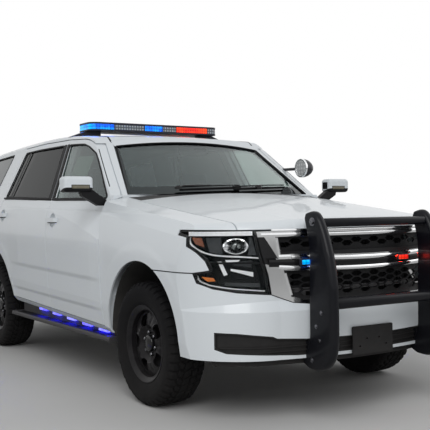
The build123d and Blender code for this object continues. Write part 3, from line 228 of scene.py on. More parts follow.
def block(low, high, radius=4.0, axis=2):
    """A rounded block between two corners. Across the axis each ring is a rectangle shrunk by the
    radius plus an arc; at both ends the arc shrinks by radius*(1 - sine) as it rolls in."""
    low, high = np.asarray(low, float), np.asarray(high, float)
    half = (high - low) / 2
    radius = min(radius, 0.96 * half.min())
    roll = np.linspace(0, np.pi / 2, 4)
    shrink, climb = radius * (1 - np.sin(roll)), radius * (1 - np.cos(roll))
    inset = np.r_[shrink, shrink[::-1]]
    rise = np.r_[-half[axis] + climb, half[axis] - climb[::-1]]
    first, second = [i for i in range(3) if i != axis]
    turn = corner_turns(5)
    corner = np.repeat([(1, 1), (-1, 1), (-1, -1), (1, -1)], 5, axis=0)
    flat = (np.array([half[first], half[second]]) - radius) * corner
    arc = np.stack([np.cos(turn), np.sin(turn)], -1)
    rows = np.zeros((len(inset), len(turn), 3))
    rows[..., axis] = rise[:, None]
    rows[..., [first, second]] = flat + (radius - 0.98 * inset)[:, None, None] * arc
    return grid(rows + (low + high) / 2, around=True, ends="capped")


def other_side(shape):
    """The same shape mirrored to the vehicle's other side."""
    points, faces = shape
    return points * (-1, 1, 1), [same_count[:, ::-1] for same_count in faces]


def pair(shape):
    """A shape and its mirror image."""
    return [shape, other_side(shape)]


def pairs(shapes):
    """Several shapes, each followed by its mirror image."""
    return [one for shape in shapes for one in pair(shape)]


print("a rounded block has", len(block((0, 0, 0), (40, 30, 20))[0]), "points")

# %% Pieces
SAME_PLACE = 0.000002


def piece(name, parts, body="body", crease=35.0):
    """One object from parts of (shapes, finish): doubles merged, faces outwards, edges kept sharp.
    The shapes' points follow one another, so each shape's indexes rise by the points before it."""
    points, faces, finish_of, used, start = [], [], [], [], 0
    for shapes, coat in parts:
        if coat not in used:
            used.append(coat)
        for shape_points, shape_faces in (shapes if isinstance(shapes, list) else [shapes]):
            points.append(shape_points)
            for same_count in shape_faces:
                faces += (same_count + start).tolist()
                finish_of += [used.index(coat)] * len(same_count)
            start += len(shape_points)
    mesh = bpy.data.meshes.new(name)
    mesh.from_pydata((np.vstack(points) * MM).tolist(), [], faces)
    mesh.polygons.foreach_set("material_index", finish_of)
    work = bmesh.new()
    work.from_mesh(mesh)
    bmesh.ops.remove_doubles(work, verts=work.verts, dist=SAME_PLACE)
    bmesh.ops.recalc_face_normals(work, faces=work.faces)
    work.to_mesh(mesh)
    work.free()
    mesh.polygons.foreach_set("use_smooth", np.ones(len(mesh.polygons), bool))
    mesh.set_sharp_from_angle(angle=math.radians(crease))
    for coat in used:
        mesh.materials.append(coat)
    obj = bpy.data.objects.new(name, mesh)
    bpy.context.scene.collection.objects.link(obj)
    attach(obj, body)
    print(name, len(mesh.polygons), "faces on", body)
    return obj


SIDES = (("right", -1), ("left", 1))
WHEELS = [(f"{end}_{side}", sign) for end in ("front", "rear") for side, sign in SIDES]
print("wheels:", [wheel for wheel, _ in WHEELS])

# %% [markdown]
# ## Shared effects
# Real surfaces differ by what has happened to them: moulded grain, road dust thrown up from below,
# patches that handling has dulled, and lines that a brush or a press has left. Each is used by
# several materials, so each is one group of nodes with its own numbers wherever it is placed.

# %% Nodes, sums and mixes


def add(tree, kind, inputs=(), **settings):
    """A shader node; its inputs are numbers, or sockets to link."""
    made = tree.nodes.new("ShaderNode" + kind)
    for key, value in settings.items():
        setattr(made, key, value)
    for key, value in dict(inputs).items():
        if isinstance(value, bpy.types.NodeSocket):
            tree.links.new(value, made.inputs[key])
        else:
            made.inputs[key].default_value = value
    return made


def sums(tree, operation, first, second=0.0, clamp=False):
    """One step of arithmetic on two numbers or sockets."""
    return add(tree, "Math", {0: first, 1: second}, operation=operation, use_clamp=clamp).outputs[0]


def blend(tree, factor, first, second):
    """Two colours mixed by a mask."""
    mixed = add(tree, "Mix", {0: factor, 6: first, 7: second}, data_type="RGBA")
    return mixed.outputs[2]


def wire(tree, socket, target):
    """Link an output to an input."""
    tree.links.new(socket, target)


def feeding(tree, target):
    """The output that already feeds an input."""
    return [link.from_socket for link in tree.links if link.to_socket == target][0]


print("node helpers:", add.__name__, sums.__name__, blend.__name__, wire.__name__, feeding.__name__)

# %% Groups, noise and ranges


def new_group(name, inputs, outputs):
    """An empty node group with named inputs and outputs."""
    tree = bpy.data.node_groups.new(name, "ShaderNodeTree")
    for label, kind, value in inputs:
        socket = tree.interface.new_socket(label, in_out="INPUT", socket_type="NodeSocket" + kind)
        socket.default_value = value
    for label, kind in outputs:
        tree.interface.new_socket(label, in_out="OUTPUT", socket_type="NodeSocket" + kind)
    given, result = tree.nodes.new("NodeGroupInput"), tree.nodes.new("NodeGroupOutput")
    place = add(tree, "TexCoord").outputs["Object"]
    return tree, given.outputs, result.inputs, place


def noise_in(tree, place, **numbers):
    """Cloudy noise at a place, from 0 to 1."""
    inputs = {"Vector": place}
    inputs.update(numbers)
    return add(tree, "TexNoise", inputs).outputs["Fac"]


def mapped(tree, value, low, high, smooth=False):
    """A value taken from the range low to high to the range 0 to 1, clamped at both ends."""
    kind = {"interpolation_type": "SMOOTHERSTEP"} if smooth else {}
    return add(tree, "MapRange", {"Value": value, "From Min": low, "From Max": high}, **kind).outputs[0]


print("group helpers:", new_group.__name__, noise_in.__name__, mapped.__name__)

# %% Grain and brushed lines


def relief_group(name, scale, depth, detail, stretch=None):
    """Noise as a height and as the normal that it bends; a stretch draws it out into lines."""
    tree, given, result, place = new_group(
        name, [("Scale", "Float", scale), ("Depth", "Float", depth)],
        [("Height", "Float"), ("Normal", "Vector")])
    if stretch:
        place = add(tree, "Mapping", {"Vector": place, "Scale": stretch}).outputs[0]
    noise = noise_in(tree, place, Scale=given["Scale"], Detail=detail)
    bump = add(tree, "Bump", {"Height": noise, "Distance": given["Depth"], "Strength": 1.0})
    wire(tree, noise, result["Height"])
    wire(tree, bump.outputs[0], result["Normal"])
    return tree


grain = relief_group("fine grain", 400.0, 0.0002, 3.0)
brushed = relief_group("brushed lines", 60.0, 0.0001, 4.0, (1.0, 6.0, 24.0))
print("relief groups:", grain.name, "and", brushed.name)

# %% Dust and dulled patches
dust, given, result, place = new_group(
    "road dust", [("Color", "Color", (1, 1, 1, 1)), ("Dust", "Color", (0.42, 0.39, 0.35, 1)),
                  ("Amount", "Float", 0.4), ("Top", "Float", 0.9)],
    [("Color", "Color"), ("Mask", "Float")])
height = add(dust, "SeparateXYZ", {0: place}).outputs["Z"]
fade = sums(dust, "SUBTRACT", 1.0, sums(dust, "DIVIDE", height, given["Top"]), clamp=True)
patches = noise_in(dust, place, Scale=7.0, Detail=6.0, Roughness=0.65)
mask = sums(dust, "MULTIPLY", sums(dust, "MULTIPLY", fade, patches), given["Amount"], clamp=True)
wire(dust, blend(dust, mask, given["Color"], given["Dust"]), result["Color"])
wire(dust, mask, result["Mask"])

wear, given, result, place = new_group(
    "dulled patches", [("Color", "Color", (1, 1, 1, 1)), ("Worn", "Color", (0.5, 0.5, 0.5, 1)),
                       ("Amount", "Float", 0.3), ("Scale", "Float", 20.0)],
    [("Color", "Color"), ("Mask", "Float")])
noise = noise_in(wear, place, Scale=given["Scale"], Detail=7.0, Roughness=0.7)
spread = mapped(wear, noise, 0.48, 0.72)
mask = sums(wear, "MULTIPLY", spread, given["Amount"], clamp=True)
wire(wear, blend(wear, mask, given["Color"], given["Worn"]), result["Color"])
wire(wear, mask, result["Mask"])
print("groups:", [tree.name for tree in bpy.data.node_groups])

# %% [markdown]
# ## Finishes
# A finish starts from the slot's own colour in the frame's record, or from one that is nearer to
# the real part's. The wear group shifts that colour in soft patches, dust lightens it towards the
# ground, and both make it rougher where they lie. A fine normal gives moulded plastic, rubber and
# paint their own scale of grain.

# %% Finish maker
record = frame["record"]
slot_colour = {m["slot"]: m["base_color"] for m in record["materials"]}
WORN_ROUGHER, DUST_ROUGHER = 0.25, 0.5
COAT_ROUGH = 0.04


def finish(name, colour=None, rough=0.5, metal=0.0, coat=0.0, grained=(400.0, 0.0002), lines=None,
           dusty=(0.0, 0.9), worn=(0.15, 18.0), worn_colour=None, specular=0.5):
    """A Principled material: its colour goes through wear and dust, its roughness is rough plus a
    quarter of the wear mask plus half of the dust mask, and its normal is the grain's."""
    material = bpy.data.materials.new(name)
    material.use_nodes = True
    tree = material.node_tree
    shader = tree.nodes["Principled BSDF"]
    colour = colour or slot_colour[name]
    base = (*colour, 1)
    other = (*(worn_colour or [min(1.0, 1.3 * c + 0.02) for c in colour]), 1)
    patched = add(tree, "Group", {"Color": base, "Worn": other, "Amount": worn[0], "Scale": worn[1]},
                  node_tree=wear)
    dusted = add(tree, "Group", {"Color": patched.outputs["Color"], "Amount": dusty[0], "Top": dusty[1]},
                 node_tree=dust)
    wire(tree, dusted.outputs["Color"], shader.inputs["Base Color"])
    rougher = sums(tree, "MULTIPLY", patched.outputs["Mask"], WORN_ROUGHER)
    rougher = sums(tree, "ADD", rougher, sums(tree, "MULTIPLY", dusted.outputs["Mask"], DUST_ROUGHER))
    wire(tree, sums(tree, "ADD", rougher, rough, clamp=True), shader.inputs["Roughness"])
    texture = lines or grained
    relief = add(tree, "Group", {"Scale": texture[0], "Depth": texture[1]},
                 node_tree=brushed if lines else grain)
    wire(tree, relief.outputs["Normal"], shader.inputs["Normal"])
    shader.inputs["Metallic"].default_value = metal
    shader.inputs["Coat Weight"].default_value = coat
    shader.inputs["Coat Roughness"].default_value = COAT_ROUGH
    shader.inputs["Specular IOR Level"].default_value = specular
    return material


WHITE, WHITE_WORN = (0.72, 0.765, 0.80), (0.70, 0.73, 0.76)
BRIGHT, BRIGHT_WORN = (0.86, 0.87, 0.88), (0.60, 0.61, 0.63)
finishes = {"body_paint": finish("body_paint", WHITE, rough=0.38, coat=0.35, grained=(90, 0.00002),
                                 dusty=(0.22, 0.7), worn=(0.06, 3.0), worn_colour=WHITE_WORN)}
print("slots with a colour:", len(slot_colour))

# %% Metals
finishes.update({
    "bright_trim": finish("bright_trim", BRIGHT, rough=0.10, metal=1.0, lines=(40, 0.00001),
                          worn=(0.1, 30), worn_colour=BRIGHT_WORN),
    "radiator_metal": finish("radiator_metal", (0.010, 0.010, 0.011), rough=0.55, metal=0.3,
                             lines=(90, 0.0004), worn=(0.4, 9), specular=0.15),
    "chassis_paint": finish("chassis_paint", rough=0.6, dusty=(0.7, 1.0), worn=(0.5, 9),
                            worn_colour=(0.12, 0.08, 0.06)),
    "engine_metal": finish("engine_metal", rough=0.5, metal=0.8, worn=(0.5, 10), grained=(200, 0.0006)),
    "exhaust_steel": finish("exhaust_steel", rough=0.45, metal=1.0, worn=(0.6, 9),
                            worn_colour=(0.20, 0.13, 0.09)),
    "axle_iron": finish("axle_iron", rough=0.6, metal=0.6, dusty=(0.7, 1.0), worn=(0.6, 14),
                        worn_colour=(0.17, 0.10, 0.06)),
    "wheel_steel": finish("wheel_steel", (0.004, 0.004, 0.006), rough=0.34, coat=0.08, specular=0.09,
                          grained=(300, 0.0001), dusty=(0.08, 0.9), worn=(0.3, 16),
                          worn_colour=(0.03, 0.03, 0.032)),
})
print("with the metals:", len(finishes))

# %% Plastics, rubber and cloth
finishes.update({
    "underbody": finish("underbody", rough=0.8, dusty=(0.7, 1.0), worn=(0.4, 12)),
    "black_trim": finish("black_trim", (0.010, 0.010, 0.011), rough=0.5, grained=(900, 0.0002),
                         dusty=(0.12, 0.8), specular=0.16),
    "lamp_housing": finish("lamp_housing", (0.008, 0.008, 0.009), rough=0.4, grained=(600, 0.0001),
                           specular=0.12),
    "bar_coating": finish("bar_coating", (0.004, 0.0045, 0.007), rough=0.36, coat=0.12,
                          grained=(700, 0.00015), dusty=(0.03, 1.0), worn=(0.15, 25),
                          worn_colour=(0.010, 0.011, 0.014), specular=0.12),
    "bar_housing": finish("bar_housing", rough=0.38, grained=(800, 0.00015), specular=0.2),
    "spot_housing": finish("spot_housing", rough=0.3, coat=0.1, grained=(500, 0.0001), specular=0.2),
    "board_coating": finish("board_coating", rough=0.55, grained=(450, 0.0005), dusty=(0.2, 0.7),
                            specular=0.2),
    "wiper_rubber": finish("wiper_rubber", rough=0.6, grained=(500, 0.0002)),
    "tank_plastic": finish("tank_plastic", rough=0.6, grained=(300, 0.0004), dusty=(0.6, 0.9)),
    "tyre_rubber": finish("tyre_rubber", (0.006, 0.006, 0.007), rough=0.82, grained=(350, 0.0003),
                          dusty=(0.05, 0.8), worn=(0.4, 14), worn_colour=(0.014, 0.014, 0.014),
                          specular=0.10),
    "liner_plastic": finish("liner_plastic", rough=0.85, grained=(260, 0.0006), dusty=(0.25, 1.2),
                            specular=0.15),
    "cabin_plastic": finish("cabin_plastic", rough=0.6, grained=(700, 0.0003)),
    "seat_cloth": finish("seat_cloth", rough=0.9, grained=(1100, 0.0006), worn=(0.3, 6)),
})
print(len(finishes), "plain finishes")

# %% [markdown]
# ## Glass and lenses
# The windscreen is lightly tinted and the panes behind the front doors are nearly black. Glass is
# all transmission with a thin colour; the printed black border and the shade band at the top are
# part of the pane, so they are masks on its colour, worked out from the place on the pane.

# %% Glass and lens materials
# Specular tint of all glass: a painted pale sky blue in its reflections, as the studio world is white.
SKY_REFLECTION_TINT = (0.74, 0.95, 1.0, 1)


def glass(name, colour, rough=0.0, ior=1.45):
    """Clear material with its own tint; the tree and shader let a mask be added to the tint."""
    material = bpy.data.materials.new(name)
    material.use_nodes = True
    tree = material.node_tree
    shader = tree.nodes["Principled BSDF"]
    shader.inputs["Base Color"].default_value = (*colour, 1)
    shader.inputs["Roughness"].default_value = rough
    shader.inputs["Transmission Weight"].default_value = 1.0
    shader.inputs["IOR"].default_value = ior
    shader.inputs["Specular Tint"].default_value = SKY_REFLECTION_TINT
    smears = add(tree, "Group", {"Scale": 3.0, "Depth": 0.00002}, node_tree=grain)
    wire(tree, smears.outputs["Normal"], shader.inputs["Normal"])
    return material, tree, shader


def object_axes(tree):
    """The three Object coordinates of a point, in metres."""
    return add(tree, "SeparateXYZ", {0: add(tree, "TexCoord").outputs["Object"]}).outputs


finishes["door_glass"] = glass("door_glass", (0.30, 0.36, 0.34))[0]
finishes["dark_glass"] = glass("dark_glass", (0.012, 0.014, 0.014), ior=1.17)[0]
finishes["clear_lens"] = glass("clear_lens", (0.97, 0.98, 0.98), ior=1.20)[0]
print("glass:", [name for name in finishes if "glass" in name or "lens" in name])

# %% Windscreen tint with its printed border
BAND_FROM, BAND_TO = 1.675, 1.745
BORDER, FOOT_BORDER = 0.036, 0.055
SIDE_SLOPE = 0.146 / 0.421
SIDE_FOOT, FOOT_HEIGHT = 0.786, 1.339
TOP_HEIGHT, TOP_BOW = 1.795, 0.097
PRINT_BLACK, BAND_GREY = (0.002, 0.002, 0.002, 1), (0.16, 0.17, 0.20, 1)
SCREEN_TINT, REAR_TINT = (0.62, 0.70, 0.68, 1), (0.015, 0.017, 0.017, 1)
screen_glass, tree, shader = glass("window_glass", (0.60, 0.68, 0.65))
x, y, z = object_axes(tree)
edge = sums(tree, "SUBTRACT", SIDE_FOOT - BORDER,
            sums(tree, "MULTIPLY", sums(tree, "SUBTRACT", z, FOOT_HEIGHT), SIDE_SLOPE))
at_side = sums(tree, "GREATER_THAN", sums(tree, "ABSOLUTE", x), edge)
crown = sums(tree, "SUBTRACT", TOP_HEIGHT - BORDER,
             sums(tree, "MULTIPLY", sums(tree, "MULTIPLY", x, x), TOP_BOW))
at_top = sums(tree, "GREATER_THAN", z, crown)
at_foot = sums(tree, "LESS_THAN", z, FOOT_HEIGHT + FOOT_BORDER)
printed = sums(tree, "MAXIMUM", sums(tree, "MAXIMUM", at_side, at_top), at_foot)
band = mapped(tree, z, BAND_FROM, BAND_TO)
screen_tint = blend(tree, printed, blend(tree, band, SCREEN_TINT, BAND_GREY), PRINT_BLACK)
behind = sums(tree, "GREATER_THAN", y, (rear_axle - 400) * MM)
wire(tree, blend(tree, behind, screen_tint, REAR_TINT), shader.inputs["Base Color"])
finishes["window_glass"] = screen_glass
print("windscreen border:", BORDER, "m at the sides,", FOOT_BORDER, "m at the foot")

# %% Tail lamp lens
CLEAR_FROM, CLEAR_TO = 1.05, 1.16


def red_and_clear():
    """Tail lamp lens: red with a clear reversing window between two heights, and upright flutes
    whose height is the sine of 700 times x plus y."""
    material, tree, shader = glass("red_lens", (0.5, 0.01, 0.01), rough=0.08)
    shader.inputs["Transmission Weight"].default_value = 0.35
    x, y, z = object_axes(tree)
    window = sums(tree, "MULTIPLY", sums(tree, "GREATER_THAN", z, CLEAR_FROM),
                  sums(tree, "LESS_THAN", z, CLEAR_TO))
    colour = blend(tree, window, (0.50, 0.012, 0.012, 1), (0.80, 0.80, 0.80, 1))
    wire(tree, colour, shader.inputs["Base Color"])
    flutes = sums(tree, "SINE", sums(tree, "MULTIPLY", sums(tree, "ADD", x, y), 700.0))
    bump = add(tree, "Bump", {"Height": flutes, "Distance": 0.0004, "Strength": 1.0})
    wire(tree, bump.outputs[0], shader.inputs["Normal"])
    return material


finishes["red_lens"] = red_and_clear()
print("clear window from", CLEAR_FROM, "to", CLEAR_TO, "m")

# %% [markdown]
# ## Lit lamps
# Behind a lit lens is a board of light-emitting chips. The lens glows in dots, one to a chip, and
# is brighter in wide patches. A camera would see such a lamp burn out to white, so the lens that it
# sees stays at its own colour, and only the other rays carry the stronger light that falls on the
# paint and rubber near the lamp.

# %% Lamps over a board of chips
PATCH_FROM, PATCH_TO, PATCH_SCALE = 0.42, 0.60, 9.0


def lit(name, colour, strength, dim=0.15, pitch=0.012, base=None, spill=None, core=None):
    """Glow = dim plus the product of two waves, each the 1.6th power of |sine| along one way of the
    board, so that one dot lies in each cell of a square grid. core is the colour of wide patches,
    and spill is the stronger light that the lamp throws on what stands near."""
    material = bpy.data.materials.new(name)
    material.use_nodes = True
    tree = material.node_tree
    shader = tree.nodes["Principled BSDF"]
    x, y, z = object_axes(tree)
    wave = math.pi / pitch
    dots = []
    for axis in (sums(tree, "ADD", x, y), z):
        swing = sums(tree, "SINE", sums(tree, "MULTIPLY", axis, wave))
        dots.append(sums(tree, "POWER", sums(tree, "ABSOLUTE", swing), 1.6))
    cell = sums(tree, "MULTIPLY", dots[0], dots[1])
    glow = sums(tree, "ADD", cell, dim, clamp=True)
    flood = noise_in(tree, add(tree, "TexCoord").outputs["Object"], Scale=PATCH_SCALE)
    patch = mapped(tree, flood, PATCH_FROM, PATCH_TO)
    full = blend(tree, patch, (*colour, 1), (*(core or colour), 1))
    lamp = blend(tree, glow, (*[c * 0.2 for c in colour], 1), full)
    if spill:
        lamp = blend(tree, add(tree, "LightPath").outputs["Is Camera Ray"], (*spill, 1), lamp)
    wire(tree, lamp, shader.inputs["Emission Color"])
    shader.inputs["Emission Strength"].default_value = strength
    between_dots = base or [c * 0.5 for c in colour]
    wire(tree, blend(tree, cell, (*between_dots, 1), (*colour, 1)), shader.inputs["Base Color"])
    shader.inputs["Roughness"].default_value = 0.2
    shader.inputs["Coat Weight"].default_value = 0.15
    shader.inputs["Specular IOR Level"].default_value = 0.2
    bump = add(tree, "Bump", {"Height": cell, "Distance": 0.0015, "Strength": 1.0})
    wire(tree, bump.outputs[0], shader.inputs["Normal"])
    return material


finishes["step_lens"] = lit("step_lens", (0.14, 0.12, 1.0), 1.5, dim=0.7, pitch=0.020,
                            spill=(0.1, 0.1, 13.0), core=(0.28, 0.28, 1.0))
lit_blue = lit("lit_blue", (0.0, 0.09, 0.85), 1.2, dim=0.45, pitch=0.024, base=(0.0, 0.02, 0.12),
               spill=(0.1, 1.5, 9.0), core=(0.0, 0.55, 1.0))
lit_red = lit("lit_red", (0.85, 0.018, 0.010), 1.2, dim=0.45, pitch=0.024, base=(0.12, 0.004, 0.002),
              spill=(12.0, 0.3, 0.1), core=(1.0, 0.085, 0.012))
# The unlit lens blocks still emit a little: a faint painted glow, not lamp light.
unlit_painted_glow = lit("unlit_painted_glow", (0.45, 0.50, 0.55), 0.03, pitch=0.024, base=(0.07, 0.08, 0.09))
finishes["bar_lens"] = unlit_painted_glow
print("lamps:", lit_blue.name, lit_red.name, unlit_painted_glow.name)

# %% [markdown]
# ## Finishes of the small fittings
# Lamp insides, markers, nuts and seals need finishes that no slot of the frame has. They come from
# the same maker, so dust and wear lie on them as on their neighbours.

# %% Lamp insides and markers
amber_lens = finish("amber_lens", (0.62, 0.16, 0.015), rough=0.2, coat=0.8, lines=(30, 0.0002),
                    worn=(0.3, 60), worn_colour=(0.85, 0.30, 0.04))
smoked_amber = finish("smoked_amber", (0.20, 0.055, 0.02), rough=0.22, coat=0.8, lines=(30, 0.0002),
                      worn=(0.3, 60), worn_colour=(0.34, 0.12, 0.06))
marker_lens = finish("marker_lens", (0.17, 0.155, 0.11), rough=0.2, coat=0.4, lines=(60, 0.0002),
                     worn=(0.3, 60), worn_colour=(0.30, 0.28, 0.22), specular=0.2)
silver = finish("lamp_silver", (0.90, 0.91, 0.93), rough=0.30, metal=0.7, grained=(60, 0.00005),
                worn=(0.1, 40))
smoke = finish("lamp_smoke", (0.045, 0.048, 0.052), rough=0.28, metal=0.3, specular=0.3,
               lines=(20, 0.0002), worn=(0.3, 20))
reflector = finish("lamp_reflector", (0.72, 0.73, 0.75), rough=0.18, metal=1.0, grained=(60, 0.0002),
                   worn=(0.1, 40))
print("lamp insides:", silver.name, smoke.name, reflector.name)

# %% Seals, bolts and mirror glass
chrome = finishes["bright_trim"]
gloss_black = finish("gloss_black", (0.006, 0.006, 0.007), rough=0.12, coat=0.1, grained=(40, 0.00001),
                     specular=0.25, worn=(0.1, 4), worn_colour=(0.03, 0.03, 0.03))
soft_rubber = finish("soft_rubber", (0.010, 0.010, 0.011), rough=0.65, grained=(700, 0.0003),
                     specular=0.15)
bolt_steel = finish("bolt_steel", (0.10, 0.10, 0.11), rough=0.4, metal=0.9, lines=(80, 0.0001),
                    worn=(0.5, 90))
shiny_steel = finish("shiny_steel", (0.13, 0.13, 0.14), rough=0.25, metal=1.0, lines=(80, 0.00005),
                     worn=(0.4, 90))
mirror_glass = finish("mirror_glass", (0.80, 0.82, 0.84), rough=0.02, metal=1.0, grained=(4, 0.00001),
                      worn=(0.05, 5))
print(len(finishes), "finishes with glass and lamps")

# %% [markdown]
# ## White panels with pressed lines
# The sides are not plain: a line is pressed under the windows, two more run low along the doors,
# and a raised band follows each wheel arch. The hood has a step near each side. They are shallow,
# so the paint carries them as relief in its shading: a height that changes across each line,
# worked out from the place on the side.

# %% Pressed lines in the paint
LINE_FADE = 0.25


def pressed(tree, y, z, at, rise, half, start, stop):
    """Height of one step: a smooth fall across a line z = at + rise*(y - start), faded at its ends."""
    climb = sums(tree, "MULTIPLY", sums(tree, "SUBTRACT", y, start), rise)
    line = sums(tree, "SUBTRACT", z, sums(tree, "ADD", climb, at))
    step = mapped(tree, line, -half, half, smooth=True)
    entry = mapped(tree, y, start, start + LINE_FADE)
    leave = mapped(tree, y, stop, stop - LINE_FADE)
    return sums(tree, "MULTIPLY", step, sums(tree, "MULTIPLY", entry, leave))


paint = finishes["body_paint"]
tree = paint.node_tree
shader = tree.nodes["Principled BSDF"]
x, y, z = object_axes(tree)
door_start, tail_stop = (front_axle + 500) * MM, (rear_axle + 1000) * MM
shoulder = pressed(tree, y, z, 1.196, 0.0275, 0.014, (front_axle - 500) * MM, tail_stop)
waist = pressed(tree, y, z, 0.749, 0.0233, 0.024, door_start, (rear_axle - 450) * MM)
foot_line = pressed(tree, y, z, 0.546, 0.022, 0.020, door_start, (rear_axle - 420) * MM)
print("lines start", round(door_start, 2), "and stop", round(tail_stop, 2), "m")

# %% Raised bands round the wheel arches
ARCH_HEIGHT, ARCH_INNER, ARCH_OUTER = 0.424, 0.545, 0.620
ARCH_SHARE = 0.35


def arch_lip(tree, y, z, axle):
    """Raised band round a wheel arch: far is the distance from a point at the arch's height over
    the axle, and the band is 1 up to the inner radius and 0 from the outer one."""
    across = sums(tree, "SUBTRACT", y, axle * MM)
    rise = sums(tree, "MAXIMUM", sums(tree, "SUBTRACT", z, ARCH_HEIGHT), 0.0)
    square = sums(tree, "ADD", sums(tree, "MULTIPLY", across, across), sums(tree, "MULTIPLY", rise, rise))
    return mapped(tree, sums(tree, "SQRT", square), ARCH_OUTER, ARCH_INNER, smooth=True)


lips = sums(tree, "MAXIMUM", arch_lip(tree, y, z, front_axle), arch_lip(tree, y, z, rear_axle))
lips = sums(tree, "MULTIPLY", lips, ARCH_SHARE)
print("arch bands reach", ARCH_OUTER, "m from the arch's middle")

# %% The relief of sides and hood
SIDE_FROM, HOOD_FROM, HOOD_SHARE = 0.90, 1.10, 0.3
RIDGE_INNER, RIDGE_OUTER = 0.475, 0.505
RELIEF = 0.010
relief = sums(tree, "SUBTRACT", sums(tree, "ADD", sums(tree, "ADD", waist, foot_line), lips), shoulder)
flank_side = sums(tree, "GREATER_THAN", sums(tree, "ABSOLUTE", x), SIDE_FROM)
relief = sums(tree, "MULTIPLY", relief, flank_side)
ridge = mapped(tree, sums(tree, "ABSOLUTE", x), RIDGE_OUTER, RIDGE_INNER, smooth=True)
on_hood = sums(tree, "MULTIPLY", sums(tree, "GREATER_THAN", z, HOOD_FROM),
               sums(tree, "LESS_THAN", y, (front_axle + 352) * MM))
hood_relief = sums(tree, "MULTIPLY", sums(tree, "MULTIPLY", ridge, on_hood), HOOD_SHARE)
pressing = add(tree, "Bump", {"Height": sums(tree, "ADD", relief, hood_relief), "Distance": RELIEF,
                              "Strength": 1.0, "Normal": feeding(tree, shader.inputs["Normal"])})
wire(tree, pressing.outputs[0], shader.inputs["Normal"])
print("deepest relief", RELIEF, "m")

# %% [markdown]
# ## Two finishes on one part
# A mirror shell is one casting with a painted cap over black plastic, and the grille is one casting
# with bright strips over black meshes; the black just under its top strip is also painted shadow of
# the hood's edge. Each is one node, so a mask on its colour decides where the second finish lies. The
# mask is worked out from the place on the part.

# %% Mirror shell
CAP_SLOPE, CAP_MIDDLE, CAP_FROM = 0.25, 0.64, 1.04


def two_tone(top_colour, split):
    """Mirror shell: painted cap where z + slope*(y - middle) is over the split and outside the foot,
    black grained plastic elsewhere."""
    material = finish("mirror_two_tone", (0.008, 0.008, 0.009), rough=0.4, grained=(700, 0.0002),
                      specular=0.15)
    tree = material.node_tree
    shader = tree.nodes["Principled BSDF"]
    below = feeding(tree, shader.inputs["Base Color"])
    x, y, z = object_axes(tree)
    behind = sums(tree, "SUBTRACT", y, front_axle * MM + CAP_MIDDLE)
    level = sums(tree, "ADD", z, sums(tree, "MULTIPLY", behind, CAP_SLOPE))
    cap = sums(tree, "MULTIPLY", sums(tree, "GREATER_THAN", level, split),
               sums(tree, "GREATER_THAN", sums(tree, "ABSOLUTE", x), CAP_FROM))
    wire(tree, blend(tree, cap, below, (*top_colour, 1)), shader.inputs["Base Color"])
    return material


finishes["mirror_shell"] = two_tone(WHITE, 1.372)
print("the mirror's cap is", finishes["mirror_shell"].name)

# %% Grille casting
GRILLE_BOW = 0.045
GRILLE_BLACK_AND_SHADOW = (0.013, 0.013, 0.014, 1)
BLACK_ROUGH, BRIGHT_SMOOTHER = 0.5, 0.4


def bright_or_black():
    """Grille casting: bright where a strip, bracket or wing is, gloss black between them. Strips
    follow a bow, so their level is z less the bow times x squared."""
    material = finish("grille_bright", BRIGHT, rough=0.10, metal=1.0, lines=(40, 0.00001),
                      worn=(0.1, 30), worn_colour=BRIGHT_WORN)
    tree = material.node_tree
    shader = tree.nodes["Principled BSDF"]
    x, y, z = object_axes(tree)
    side = sums(tree, "ABSOLUTE", x)
    level = sums(tree, "SUBTRACT", z, sums(tree, "MULTIPLY", sums(tree, "MULTIPLY", x, x), GRILLE_BOW))

    def over(value, low, slope=0.0, start=0.0):
        """1 where a value is over low + slope*(z - start)."""
        limit = sums(tree, "ADD", sums(tree, "MULTIPLY", sums(tree, "SUBTRACT", z, start), slope), low)
        return sums(tree, "GREATER_THAN", value, limit)

    def both_of(*masks):
        """1 where all the masks are 1: their product."""
        result = masks[0]
        for mask in masks[1:]:
            result = sums(tree, "MULTIPLY", result, mask)
        return result

    def without(mask):
        """The other way round: 1 less the mask."""
        return sums(tree, "SUBTRACT", 1.0, mask)

    def strip(half_width, low, high):
        """A bowed strip between two levels, within a half width of the middle."""
        return both_of(without(over(side, half_width)), over(level, low), without(over(level, high)))

    top = over(z, 1.062)
    bracket = both_of(over(side, 0.594, 0.216, 0.962), without(over(side, 0.600, 0.66, 0.940)),
                      over(z, 0.935))
    foot = both_of(over(side, 0.518), without(over(side, 0.604)), over(z, 0.935), without(over(z, 0.963)))
    wing = both_of(over(side, 0.527, 0.29, 0.732), without(over(z, 0.910)))
    chin = without(over(z, 0.722))
    bright = top
    for mask in (bracket, foot, strip(0.53, 0.927, 0.952), strip(0.60, 0.860, 0.884), wing, chin):
        bright = sums(tree, "MAXIMUM", bright, mask)
    below = feeding(tree, shader.inputs["Base Color"])
    # The black between the strips is the grille's own black mesh; under the top strip, from 0.952 to 0.978
    # m, it is also painted shadow of the hood's edge.
    wire(tree, blend(tree, bright, GRILLE_BLACK_AND_SHADOW, below), shader.inputs["Base Color"])
    wire(tree, bright, shader.inputs["Metallic"])
    shader.inputs["Specular IOR Level"].default_value = 0.2
    smoother = sums(tree, "MULTIPLY", bright, BRIGHT_SMOOTHER)
    wire(tree, sums(tree, "SUBTRACT", BLACK_ROUGH, smoother), shader.inputs["Roughness"])
    return material


finishes["grille"] = bright_or_black()
print("the grille's finish is", finishes["grille"].name)

